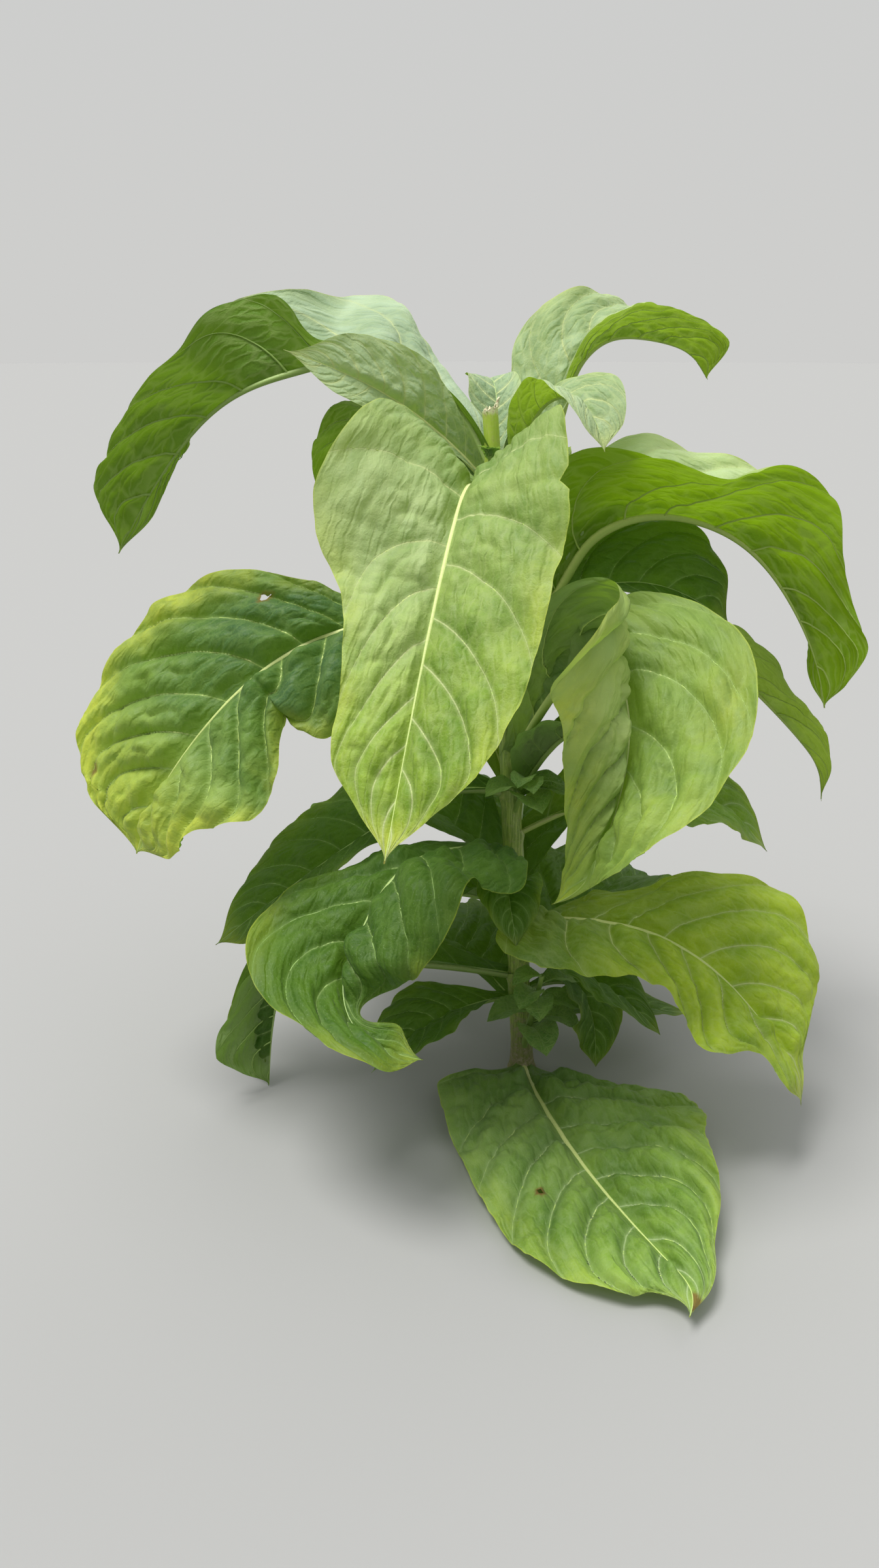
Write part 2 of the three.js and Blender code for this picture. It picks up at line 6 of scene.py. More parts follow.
import bpy
import numpy as np
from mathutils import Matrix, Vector


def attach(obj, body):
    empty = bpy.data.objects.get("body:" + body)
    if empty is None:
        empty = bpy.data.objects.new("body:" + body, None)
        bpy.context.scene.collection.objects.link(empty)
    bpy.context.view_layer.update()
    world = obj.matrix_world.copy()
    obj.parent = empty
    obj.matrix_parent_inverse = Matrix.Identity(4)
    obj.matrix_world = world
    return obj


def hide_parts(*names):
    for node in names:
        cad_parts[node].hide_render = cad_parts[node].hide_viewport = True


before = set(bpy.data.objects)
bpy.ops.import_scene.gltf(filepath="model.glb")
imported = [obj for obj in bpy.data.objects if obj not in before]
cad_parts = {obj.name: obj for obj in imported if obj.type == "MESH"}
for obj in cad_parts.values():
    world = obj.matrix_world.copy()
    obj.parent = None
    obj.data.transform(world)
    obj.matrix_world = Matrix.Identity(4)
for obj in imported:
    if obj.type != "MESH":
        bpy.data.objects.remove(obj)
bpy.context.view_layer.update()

print("frame loaded:", len(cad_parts), "nodes")

mm = 0.001

# The stalk's sizes also set where the leaves leave it
stem = {
    "height": 1000, "footRadius": 17, "topRadius": 10, "rootFlare": 6, "flareHeight": 14,
    "lean": 65, "leanPower": 1.15, "sides": 48, "rings": 300,
    "ridges": 5, "ridgeDepth": 0.4, "ridgeTwist": 1.6, "twistRun": 200,    # long shallow ribs all round
    "nodeSwell": 2.4, "nodeHeight": 9, "nodeDrop": 4,                      # swelling below a leaf
    "wingHeight": 1.6, "wingWidth": 0.24, "wingStart": -6, "wingRun": 95,  # ridge down from a leaf
    "lumps": 0.4, "lumpSize": 26, "lumpSpread": 14,
    "cutSlope": 0.35, "cutFrom": 965, "narrowing": 0.02, "narrowFrom": 985,
    "raggedness": 1.8, "raggedSize": 5, "raggedSpread": 9,
    "pithSink": 3.0, "pithShare": 0.78, "pithRoughness": 0.6, "pithGrain": 2.5,
}

# The rule that every leaf is drawn by, as in the solids
rule = {
    "midribInset": 0.6, "midribSteps": 600, "tipWidth": 0.0015,
    "widestPlace": 0.42, "wingShare": 0.14, "wingPower": 1.7,
    "tipPower": 2.3, "tipDraw": 0.4, "tipDrawPower": 5,
    "waveEdgePower": 3, "waveEndPower": 0.6, "waveSideShift": 0.37,
    "smallLeafRuffle": 1, "smallLeafDroop": 60, "smallLeafShrink": 0.45, "goldenTurn": 2.4,
}

leafDefaults = {
    "rolls": [[0, 0], [1, 0]], "folds": [[0, 30, 30], [1, 10, 10]], "cups": [[0, 0, 0], [1, 0, 0]],
    "halfWidth": 125, "ruffle": 7, "waves": 3.5, "phase": 0,
}

# Headings and slopes steer the midrib, in degrees, at places from 0, the stem, to 1, the tip. Rolls turn
# the blade about it, folds raise its right and left halves, cups curl them on, halves are their widths.
leaves = {
    "leaf_front": {
        "stem": 790, "length": 699, "headings": [[0, -106], [1, -106]],
        "slopes": [[0, 51], [0.25, 31], [0.33, -22], [0.42, -42], [1, -53]],
        "folds": [[0, 47, 67], [0.34, 42, 33], [0.55, 15, 6], [1, 16, 7]],
        "halves": [[0, 19, 24], [0.16, 30, 25], [0.33, 151, 154], [0.42, 167, 150], [0.5, 141, 141],
            [0.6, 101, 134], [0.72, 84, 121], [0.85, 76, 96], [0.93, 36, 40], [1, 0, 0]],
        "ruffle": 6, "waves": 3.2, "phase": 0.1,
    },
    "leaf_arch_left": {
        "stem": 930, "length": 693, "headings": [[0, 156.6], [0.357, 169.4], [1, 194]],
        "slopes": [[0, 65], [0.16, 39], [0.285, 25.5], [0.357, -17], [0.486, -16], [0.732, -48],
            [1, -60]],
        "rolls": [[0, 13], [0.571, 9], [0.786, 22], [1, 40]],
        "folds": [[0, 45, 40], [0.22, 27, 5], [0.38, 45, 8], [0.464, 77, 65], [0.54, 80, 85],
            [0.636, 40, 39], [0.786, 10, 26], [1, 0, 7]],
        "halves": [[0, 20, 20], [0.14, 34, 22], [0.268, 78, 32], [0.357, 146, 57], [0.464, 113, 97],
            [0.625, 113, 109], [0.786, 76, 101], [0.893, 48, 92], [1, 0, 0]],
        "ruffle": 5, "waves": 3.5, "phase": 0.3,
    },
    "leaf_young_left": {
        "stem": 902, "length": 335, "headings": [[0, 208], [1, 209]],
        "slopes": [[0, 46], [0.3, 38], [1, 18]],
        "rolls": [[0, -70], [1, -74]],
        "folds": [[0, 35, 35], [0.5, 12, 18], [1, 5, 8]],
        "halves": [[0, 10, 10], [0.25, 32, 12], [0.5, 64, 30], [0.75, 50, 34], [1, 0, 0]],
        "ruffle": 3, "waves": 3, "phase": 0.6,
    },
    "leaf_arch_right": {
        "stem": 672, "length": 675, "headings": [[0, -4], [1, -5]],
        "slopes": [[0, 53], [0.22, 62], [0.33, 28], [0.44, -2], [0.55, -24], [0.7, -51], [0.85, -64],
            [1, -77]],
        "rolls": [[0, 5], [0.6, -3], [0.75, -28], [0.87, -30], [1, -54]],
        "folds": [[0, 50, 50], [0.3, 63, 42], [0.4, 36, 41], [0.5, 28, 31], [0.6, 47, 37],
            [0.67, 47, 25], [0.75, 50, 40], [0.87, 28, 33], [1, -1, 2]],
        "halves": [[0, 20, 20], [0.2, 64, 55], [0.4, 148, 137], [0.6, 146, 147], [0.74, 85, 98],
            [0.81, 70, 58], [0.88, 76, 57], [0.95, 37, 19], [1, 0, 0]],
        "ruffle": 5, "waves": 3, "phase": 0.2,
    },
    "leaf_left": {
        "stem": 645, "length": 678, "headings": [[0, 196], [1, 191]],
        "slopes": [[0, 46], [0.22, 12], [0.36, -12], [0.6, -41], [0.85, -58], [1, -72]],
        "rolls": [[0, 0], [0.3, -36], [1, -41]],
        "folds": [[0, 29, 35], [0.5, 12, -2], [1, 4, 13]],
        "cups": [[0, 0, 0], [0.5, 0, -18], [1, 0, -1]],
        "halves": [[0, 36, 22], [0.3, 38, 120], [0.5, 149, 130], [0.57, 171, 85], [0.65, 176, 135],
            [0.75, 176, 152], [0.86, 166, 103], [0.94, 111, 87], [1, 0, 0]],
        "ruffle": 7, "waves": 4, "phase": 0.4,
    },
    "leaf_right": {
        "stem": 520, "length": 623, "headings": [[0, -63], [0.4, -53], [0.7, -116], [1, -174]],
        "slopes": [[0, 54], [0.2, 52], [0.38, 32], [0.48, -34], [0.58, -58], [0.88, -65], [1, -21]],
        "folds": [[0, 40, 40], [0.3, 60, 45], [0.42, 81, 38], [0.55, 40, 28], [0.75, 51, 18],
            [1, 7, 9]],
        "halves": [[0, 18, 18], [0.2, 50, 53], [0.3, 88, 58], [0.42, 103, 110], [0.53, 175, 159],
            [0.6, 133, 157], [0.69, 98, 138], [0.77, 66, 120], [0.86, 45, 74], [0.94, 42, 15],
            [1, 0, 0]],
        "ruffle": 5, "waves": 3.5, "phase": 0.9,
    },
    "leaf_low_right": {
        "stem": 268, "length": 546, "headings": [[0, -38], [1, -27]],
        "slopes": [[0, 18], [0.3, 7], [0.5, -19], [0.7, -43], [0.84, -50], [1, -84]],
        "rolls": [[0, 1], [0.3, 24], [1, 16]],
        "folds": [[0, 16, -11], [0.5, -1, 16], [1, 15, -3]],
        "halves": [[0, 30, 20], [0.12, 147, 59], [0.3, 114, 61], [0.45, 77, 114], [0.6, 93, 160],
            [0.7, 117, 137], [0.8, 53, 108], [0.9, 42, 19], [1, 0, 0]],
        "ruffle": 6, "waves": 4, "phase": 0.15,
    },
    "leaf_low_left": {
        "stem": 380, "length": 559, "headings": [[0, -138], [0.6, -124], [0.74, -81], [1, -1]],
        "slopes": [[0, 21], [0.25, 8], [0.42, -22], [0.55, -46], [0.75, -32], [1, -12]],
        "folds": [[0, 8, 0], [0.25, -15, -4], [0.45, -10, 40], [0.56, 16, 40], [0.66, 20, 56],
            [0.76, 11, 37], [0.86, 19, 34], [1, 3, 10]],
        "cups": [[0, 0, 0], [0.25, 0, -18], [0.45, 0, -54], [0.56, 0, -66], [0.66, 0, -109],
            [0.76, 0, -77], [0.86, 0, -19], [1, 0, 0]],
        "halves": [[0, 18, 18], [0.12, 32, 98], [0.2, 46, 128], [0.32, 75, 95], [0.45, 92, 151],
            [0.66, 134, 105], [0.8, 86, 18], [0.92, 63, 40], [1, 0, 0]],
        "ruffle": 5, "waves": 3.5, "phase": 0.5,
    },
    "leaf_ground": {
        "stem": 16, "length": 568, "headings": [[0, -82], [0.6, -65], [0.85, -63], [1, -114]],
        "slopes": [[0, 2], [0.15, 6], [0.5, -2], [1, 2]],
        "folds": [[0, 16, -3], [0.3, -4, 1], [0.7, -5, 18], [1, -5, 6]],
        "halves": [[0, 12, 12], [0.05, 40, 30], [0.14, 150, 95], [0.25, 147, 175], [0.45, 154, 199],
            [0.6, 154, 160], [0.75, 127, 117], [0.88, 66, 47], [1, 0, 0]],
        "ruffle": 4, "waves": 3.5, "phase": 0.7,
    },
    "leaf_shade_right": {
        "stem": 614, "length": 390, "headings": [[0, 2], [1, -10]],
        "slopes": [[0, 68], [0.3, 54], [0.6, 4], [1, -36]],
        "rolls": [[0, 0], [0.3, 30], [1, 34]],
        "halves": [[0, 14, 14], [0.2, 24, 40], [0.42, 46, 114], [0.7, 40, 112], [0.9, 20, 66],
            [1, 0, 0]],
        "phase": 0.2,
    },
    "leaf_far_right": {
        "stem": 566, "length": 645, "headings": [[0, 9], [1, 5]],
        "slopes": [[0, 44], [0.2, 36], [0.42, -8], [0.55, -40], [0.85, -50], [1, -86]],
        "folds": [[0, 30, 30], [1, 20, 20]],
        "halves": [[0, 18, 18], [0.2, 40, 50], [0.45, 92, 98], [0.7, 84, 84], [0.9, 34, 34], [1, 0, 0]],
        "phase": 0.35,
    },
    "leaf_mid_right": {
        "stem": 405, "length": 436, "headings": [[0, 8], [1, 8]],
        "slopes": [[0, 26], [0.5, -4], [1, -52]],
        "rolls": [[0, 0], [0.3, 26], [1, 26]], "halfWidth": 95, "phase": 0.8,
    },
    "leaf_far_left": {
        "stem": 468, "length": 490, "headings": [[0, 191], [1, 191]],
        "slopes": [[0, 18], [0.12, 0], [0.3, -28], [1, -37]],
        "rolls": [[0, 0], [0.25, -18], [1, -22]],
        "folds": [[0, 20, 30], [1, 5, 5]],
        "halves": [[0, 18, 18], [0.2, 56, 26], [0.45, 92, 50], [0.7, 84, 66], [0.9, 40, 40], [1, 0, 0]],
        "phase": 0.1,
    },
    "leaf_foot_left": {
        "stem": 170, "length": 542, "headings": [[0, 188], [1, 188]],
        "slopes": [[0, 14], [0.45, 0], [0.62, -20], [0.7, -76], [1, -86]],
        "folds": [[0, 25, 25], [0.5, 40, 40], [0.7, 72, 66], [1, 60, 55]],
        "halves": [[0, 16, 16], [0.3, 50, 50], [0.7, 62, 66], [0.85, 72, 92], [0.92, 50, 52],
            [1, 0, 0]],
        "ruffle": 3, "waves": 3, "phase": 0.4,
    },
    "leaf_foot_dark": {
        "stem": 134, "length": 270, "headings": [[0, 212], [1, 218]],
        "slopes": [[0, 10], [0.5, -8], [1, -28]],
        "halves": [[0, 10, 10], [0.25, 28, 18], [0.5, 72, 62], [0.75, 60, 54], [1, 0, 0]],
        "ruffle": 4, "phase": 0.3,
    },
    "leaf_foot_right": {
        "stem": 78, "length": 270, "headings": [[0, 14], [1, 8]],
        "slopes": [[0, 12], [0.5, -4], [1, -14]], "halfWidth": 58, "ruffle": 4, "phase": 0.5,
    },
    "leaf_inner_right": {
        "stem": 456, "length": 330, "headings": [[0, -26], [1, -52]],
        "slopes": [[0, 66], [0.3, 52], [0.6, -10], [1, -66]], "halfWidth": 78, "ruffle": 4,
        "phase": 0.4,
    },
    "leaf_inner_front": {
        "stem": 318, "length": 172, "headings": [[0, -104], [1, -78]],
        "slopes": [[0, 36], [0.35, 12], [0.7, -30], [1, -56]], "halfWidth": 50, "ruffle": 4,
        "phase": 0.7,
    },
    "leaf_inner_left": {
        "stem": 286, "length": 300, "headings": [[0, -158], [1, -178]],
        "slopes": [[0, 30], [0.4, 6], [0.7, -20], [1, -50]], "halfWidth": 74, "ruffle": 4, "phase": 0.1,
    },
    "leaf_inner_low": {
        "stem": 208, "length": 260, "headings": [[0, -48], [1, -24]],
        "slopes": [[0, 22], [0.35, -6], [0.7, -24], [1, -46]], "halfWidth": 62, "ruffle": 4,
        "phase": 0.55,
    },
    "leaf_foot_front": {
        "stem": 142, "length": 216, "headings": [[0, -12], [0.5, -40], [1, -88]],
        "slopes": [[0, 30], [0.3, 8], [0.5, -56], [1, -78]],
        "folds": [[0, 30, 30], [1, 14, 14]],
        "halfWidth": 54, "ruffle": 6, "waves": 4.5, "phase": 0.85,
    },
    "leaf_young_back": {
        "stem": 900, "length": 218, "headings": [[0, 82], [1, 104]],
        "slopes": [[0, 64], [0.5, 60], [0.8, 0], [1, -50]],
        "halves": [[0, 8, 8], [0.3, 14, 14], [0.6, 36, 40], [0.8, 32, 36], [1, 0, 0]],
        "ruffle": 3, "phase": 0.5,
    },
    "leaf_young_right": {
        "stem": 872, "length": 300, "headings": [[0, -36], [1, -62]],
        "slopes": [[0, 60], [0.3, 72], [0.65, 0], [1, -62]],
        "folds": [[0, 36, 40], [1, 18, 26]],
        "halves": [[0, 10, 10], [0.2, 14, 14], [0.5, 44, 46], [0.72, 56, 56], [0.9, 32, 32], [1, 0, 0]],
        "ruffle": 3, "phase": 0.2,
    },
    "leaf_arch_back": {
        "stem": 850, "length": 494, "headings": [[0, 48], [1, 16]],
        "slopes": [[0, 31], [0.42, 70], [0.58, 34], [0.7, -1], [0.85, -17], [1, -58]],
        "folds": [[0, 52, 50], [0.6, 31, 40], [1, 27, 20]],
        "halves": [[0, 14, 14], [0.2, 24, 24], [0.35, 64, 58], [0.55, 115, 98], [0.75, 67, 88],
            [0.92, 67, 36], [1, 0, 0]],
        "phase": 0.6,
    },
    "leaf_back_1": {
        "stem": 824, "length": 480, "headings": [[0, 130], [1, 130]],
        "slopes": [[0, 55], [0.3, 35], [0.55, -20], [1, -72]], "halfWidth": 122, "phase": 0.15,
    },
    "leaf_back_2": {
        "stem": 742, "length": 560, "headings": [[0, 92], [1, 88]],
        "slopes": [[0, 48], [0.3, 30], [0.55, -20], [1, -70]], "halfWidth": 128, "phase": 0.75,
    },
    "leaf_back_3": {
        "stem": 590, "length": 590, "headings": [[0, 147], [1, 147]],
        "slopes": [[0, 36], [0.3, 18], [0.55, -25], [1, -65]], "halfWidth": 135, "phase": 0.45,
    },
    "leaf_back_4": {
        "stem": 546, "length": 580, "headings": [[0, 62], [1, 58]],
        "slopes": [[0, 40], [0.3, 22], [0.55, -25], [1, -65]], "halfWidth": 135, "phase": 0.9,
    },
    "leaf_back_5": {
        "stem": 478, "length": 600, "headings": [[0, 112], [1, 108]],
        "slopes": [[0, 40], [0.3, 20], [0.55, -22], [1, -60]], "halfWidth": 138, "phase": 0.25,
    },
    "leaf_back_6": {
        "stem": 330, "length": 470, "headings": [[0, 140], [1, 140]],
        "slopes": [[0, 30], [0.3, 12], [0.6, -20], [1, -50]], "halfWidth": 120, "phase": 0.55,
    },
    "leaf_back_7": {
        "stem": 290, "length": 520, "headings": [[0, 84], [1, 84]],
        "slopes": [[0, 30], [0.3, 12], [0.6, -20], [1, -50]], "halfWidth": 128, "phase": 0.05,
    },
    "leaf_back_8": {
        "stem": 190, "length": 480, "headings": [[0, 48], [1, 48]],
        "slopes": [[0, 22], [0.3, 8], [0.6, -14], [1, -38]], "halfWidth": 118, "phase": 0.65,
    },
    "leaf_back_9": {
        "stem": 110, "length": 420, "headings": [[0, 122], [1, 122]],
        "slopes": [[0, 14], [0.4, 0], [1, -22]], "halfWidth": 105, "ruffle": 5, "phase": 0.35,
    },
}


def smooth(value, low, high):
    t = np.clip((value - low) / (high - low), 0, 1)
    return t * t * (3 - 2 * t)


def along(stations, places, column):
    # One column of a station list, by a cubic through the stations that never overshoots them
    table = np.array(stations, float)
    xs, ys = table[:, 0], table[:, column]
    steepness = np.diff(ys) / np.diff(xs)
    before, after = steepness[:-1], steepness[1:]
    sameWay = before * after > 0
    tangent = np.zeros(len(xs))
    tangent[1:-1] = np.where(sameWay, 2 * before * after / np.where(sameWay, before + after, 1), 0)
    s = np.clip(places, xs[0], xs[-1])
    k = np.searchsorted(xs[1:-1], s)
    span = xs[k + 1] - xs[k]
    t = (s - xs[k]) / span
    eased = t * t * (3 - 2 * t)
    return (ys[k] + (ys[k + 1] - ys[k]) * eased + span * tangent[k] * (t**3 - 2 * t**2 + t)
            + span * tangent[k + 1] * (t**3 - t**2))


def stemCentre(z):
    return -stem["lean"] * (np.maximum(z, 0) / stem["height"]) ** stem["leanPower"]


def stemRadius(z):
    taper = stem["footRadius"] + (stem["topRadius"] - stem["footRadius"]) * z / stem["height"]
    return taper + stem["rootFlare"] * np.exp(-z / stem["flareHeight"])


def halfWidths(leaf, places, side):
    if "halves" in leaf:
        half = along(leaf["halves"], places, side)
    else:
        widest = rule["widestPlace"]
        swell = np.sin(np.pi / 2 * np.minimum(places / widest, 1)) ** rule["wingPower"]
        t = np.clip((places - widest) / (1 - widest), 0, 1)
        draw = (1 - t ** rule["tipPower"]) * (1 - rule["tipDraw"] * t ** rule["tipDrawPower"])
        wing = rule["wingShare"] + (1 - rule["wingShare"]) * swell
        half = leaf["halfWidth"] * np.where(places < widest, wing, draw)
    return np.maximum(half, rule["tipWidth"] * leaf["length"])


def direction(heading, slope):
    return np.stack([np.cos(slope) * np.cos(heading), np.cos(slope) * np.sin(heading), np.sin(slope)], -1)


def midribFrames(leaf):
    # Points of the midrib, and its onward, leftward and upward axes
    s = np.linspace(0, 1, rule["midribSteps"] + 1)
    heading = np.radians(along(leaf["headings"], s, 1))
    roll = np.radians(along(leaf["rolls"], s, 1))[:, None]
    onward = direction(heading, np.radians(along(leaf["slopes"], s, 1)))
    level = np.stack([-np.sin(heading), np.cos(heading), 0 * s], -1)
    square = np.cross(onward, level)
    if "start" in leaf:
        start = leaf["start"]
    else:
        inset = rule["midribInset"] * stemRadius(leaf["stem"])
        outward = direction(heading[0], 0)
        start = np.array([stemCentre(leaf["stem"]), 0, leaf["stem"]]) + inset * outward
    steps = (onward[1:] + onward[:-1]) / 2 * leaf["length"] / rule["midribSteps"]
    return {
        "s": s,
        "point": start + np.concatenate([np.zeros((1, 3)), np.cumsum(steps, 0)]),
        "onward": onward,
        "left": level * np.cos(roll) + square * np.sin(roll),
        "up": square * np.cos(roll) - level * np.sin(roll),
    }


def frameAt(frames, s, key):
    return np.stack([np.interp(s, frames["s"], frames[key][:, axis]) for axis in range(3)], -1)


def bladePoints(leaf, frames, half, s, v, side):
    # Points of the smooth blade: s along the midrib, v from 0 there to 1 at the margin
    fold = np.radians(along(leaf["folds"], s, side))
    cup = np.radians(along(leaf["cups"], s, side))
    cup = np.where(np.abs(cup) < 1e-4, 1e-4, cup)
    angle = fold + cup * v
    turns = leaf["waves"] * s + leaf["phase"] + rule["waveSideShift"] * (side - 1)
    ends = np.sin(np.pi * np.clip(s, 0, 1)) ** rule["waveEndPower"]
    wave = leaf["ruffle"] * np.sin(2 * np.pi * turns) * ends * v ** rule["waveEdgePower"]
    outward = half / cup * (np.sin(angle) - np.sin(fold)) - wave * np.sin(angle)
    upward = half / cup * (np.cos(fold) - np.cos(angle)) + wave * np.cos(angle)
    hand = -1 if side == 1 else 1
    return (frameAt(frames, s, "point") + hand * outward[..., None] * frameAt(frames, s, "left")
            + upward[..., None] * frameAt(frames, s, "up"))


# The side veins of a half: where they leave the midrib, and how far towards the tip they run
veinRule = {
    "first": 0.045, "run": 0.9, "crowding": 0.93, "shuffle": 0.009,
    "leastReach": 0.3, "moreReach": 0.7, "reachPower": 0.7, "bendPower": 2.2,
    "beforeFirst": 0.6, "afterLast": 0.03,
}

# Sizes in mm of what makes the surface, its margin and its marks uneven; a ladder step is from vein to vein
reliefSizes = {
    "patches": 60, "ladders": 23, "ladderStep": 44, "puckers": 26, "finePuckers": 12, "crumples": 48,
    "frillDrift": 120, "edge": 38, "fineEdge": 11, "markPatches": 60, "finePatches": 17,
}


def softNoise(x, y, size, seed):
    # Seeded noise from -1 to 1 over a plane, with features of the given size
    word = 0xFFFFFFFF
    px, py = x / size, y / size
    cx, cy = np.floor(px).astype(np.int64), np.floor(py).astype(np.int64)
    tx, ty = px - cx, py - cy
    tx, ty = tx * tx * (3 - 2 * tx), ty * ty * (3 - 2 * ty)
    total = 0
    for dx in (0, 1):
        for dy in (0, 1):
            mixed = ((cx + dx) * 73856093 ^ (cy + dy) * 19349663 ^ (seed + 1) * 83492791) & word
            for shift, factor in ((15, 2246822519), (13, 3266489917)):
                mixed = ((mixed ^ (mixed >> shift)) * factor) & word
            value = (mixed ^ (mixed >> 16)) / word * 2 - 1
            total = total + value * (tx if dx else 1 - tx) * (ty if dy else 1 - ty)
    return total


def layVeins(leaf, look, side, rng):
    # Where the veins of one half leave the midrib, and how they run to the margin
    count = look["veins"]
    share = (np.arange(count) + 0.5 * (side - 1)) / (count - 0.5)
    starts = veinRule["first"] + veinRule["run"] * share ** veinRule["crowding"]
    starts[1:] += rng.uniform(-veinRule["shuffle"], veinRule["shuffle"], count - 1)
    widest = halfWidths(leaf, np.linspace(0, 1, 60), side).max() / leaf["length"]
    return {"starts": starts, "widest": widest, "slants": look["slants"], "bends": look["bends"]}


def veinPath(veins, start, v):
    fullness = np.sin(np.pi * np.clip(start, 0, 1)) ** veinRule["reachPower"]
    reach = veins["widest"] * (veinRule["leastReach"] + veinRule["moreReach"] * fullness)
    slant, bend = along(veins["slants"], start, 1), along(veins["bends"], start, 1)
    return start + reach * (slant * v + bend * v ** veinRule["bendPower"])


def veinIndex(veins, s, v):
    # Counts veins from the stem: whole numbers lie on a vein, halves midway between two
    starts = veins["starts"]
    before = starts[0] - veinRule["beforeFirst"] * (starts[1] - starts[0])
    places = np.concatenate([[before], starts, [starts[-1] + veinRule["afterLast"]]])
    counts = np.concatenate([[-0.5], np.arange(len(starts)), [len(starts) - 0.6]])
    fine = np.linspace(-0.3, 1.1, 400)
    index = np.empty(s.shape)
    for column in range(s.shape[1]):
        reached = np.maximum.accumulate(veinPath(veins, fine, v[0, column]) + 1e-6 * fine)
        index[:, column] = np.interp(np.interp(s[:, column], reached, fine), places, counts)
    return index


def gridNormals(points, hand):
    normal = np.cross(np.gradient(points, axis=0), np.gradient(points, axis=1)) * hand
    return normal / np.maximum(np.linalg.norm(normal, axis=-1, keepdims=True), 1e-9)


def sampleGrid(grid, row, column):
    row = np.clip(row, 0, grid.shape[0] - 1.001)
    column = np.clip(column, 0, grid.shape[1] - 1.001)
    i, j = row.astype(int), column.astype(int)
    a, b = (row - i)[:, None], (column - j)[:, None]
    return ((grid[i, j] * (1 - a) + grid[i + 1, j] * a) * (1 - b)
            + (grid[i, j + 1] * (1 - a) + grid[i + 1, j + 1] * a) * b)


# A piece is gathered as parts: grids of points, with what its materials read at each point
fieldNames = ("bladePlace", "flatPlace", "veinPlace", "marks")

# Strips across the map of a piece: the blade to either side of its middle, then what is long and thin
mapStrips = {
    "bladeMiddle": 0.42, "bladeHalf": 0.4, "midrib": (0.85, 0.90), "veins": (0.92, 0.99),
    "stalk": (0.84, 0.99), "stem": (0.01, 0.7), "torn": (0.72, 0.74), "along": (0.01, 0.99),
}


def newParts():
    return {"points": [], "quads": [], "uvs": [], "slots": [], "count": 0,
            "fields": {name: [] for name in fieldNames}}


def addGrid(parts, points, uvs, slot, fields=None, closed=False, flip=False, keep=None):
    # A grid of points as quads; closed joins its last column to its first
    rows, columns = points.shape[:2]
    across = columns if closed else columns - 1
    i, j = np.meshgrid(np.arange(rows - 1), np.arange(across), indexing="ij")
    following = (j + 1) % columns
    quads = np.stack([i * columns + j, i * columns + following,
                      (i + 1) * columns + following, (i + 1) * columns + j], -1).reshape(-1, 4)
    corners = np.stack([uvs[i, j], uvs[i, j + 1], uvs[i + 1, j + 1], uvs[i + 1, j]], -2).reshape(-1, 4, 2)
    if flip:
        quads, corners = quads[:, ::-1], corners[:, ::-1]
    if keep is not None:
        quads, corners = quads[keep.ravel()], corners[keep.ravel()]
    parts["points"].append(points.reshape(-1, 3))
    parts["quads"].append(quads + parts["count"])
    parts["uvs"].append(corners)
    parts["slots"].append(np.full(len(quads), slot))
    for name in fieldNames:
        values = np.zeros((rows, columns, 3)) if fields is None else fields[name]
        parts["fields"][name].append(np.broadcast_to(values, (rows, columns, 3)).reshape(-1, 3))
    parts["count"] += rows * columns


def addTube(parts, path, radii, sides, uvBox, slot, fields=None, guide=(0, 0, 1)):
    # A round tube along a path of points; uvBox is its strip of the map
    path = np.asarray(path, float)
    onward = np.gradient(path, axis=0)
    onward /= np.maximum(np.linalg.norm(onward, axis=1, keepdims=True), 1e-9)
    across = np.cross(np.broadcast_to(guide, path.shape), onward)
    across /= np.maximum(np.linalg.norm(across, axis=1, keepdims=True), 1e-9)
    above = np.cross(onward, across)
    turn = np.linspace(0, 2 * np.pi, sides, endpoint=False)
    ring = np.cos(turn)[None, :, None] * across[:, None] + np.sin(turn)[None, :, None] * above[:, None]
    points = path[:, None] + ring * np.asarray(radii)[:, None, None]
    u = np.linspace(uvBox[0], uvBox[1], sides + 1)
    v = np.linspace(uvBox[2], uvBox[3], len(path))
    uvs = np.stack(np.broadcast_arrays(u[None], v[:, None]), -1)
    if fields is not None:
        fields = {name: np.repeat(values[:, None], sides, 1) for name, values in fields.items()}
        fields["marks"][..., 0] = smooth(np.sin(turn), -0.1, 0.3)      # 1 on the side towards the guide
    addGrid(parts, points, uvs, slot, fields, closed=True)


def finishMesh(name, parts, materials):
    points = np.concatenate(parts["points"]) * mm
    quads = np.concatenate(parts["quads"])
    used, renumbered = np.unique(quads, return_inverse=True)
    mesh = bpy.data.meshes.new(name)
    mesh.from_pydata(points[used].tolist(), [], renumbered.reshape(-1, 4).tolist())
    mesh.uv_layers.new(name="OFBake").data.foreach_set("uv", np.concatenate(parts["uvs"]).ravel())
    for field, values in parts["fields"].items():
        layer = mesh.attributes.new(field, "FLOAT_VECTOR", "POINT")
        layer.data.foreach_set("vector", np.concatenate(values)[used].ravel())
    mesh.polygons.foreach_set("use_smooth", np.ones(len(quads), bool))
    mesh.polygons.foreach_set("material_index", np.concatenate(parts["slots"]).astype(np.int32))
    for material in materials:
        mesh.materials.append(material)
    mesh.update()
    piece = bpy.data.objects.new(name, mesh)
    bpy.context.scene.collection.objects.link(piece)
    return piece


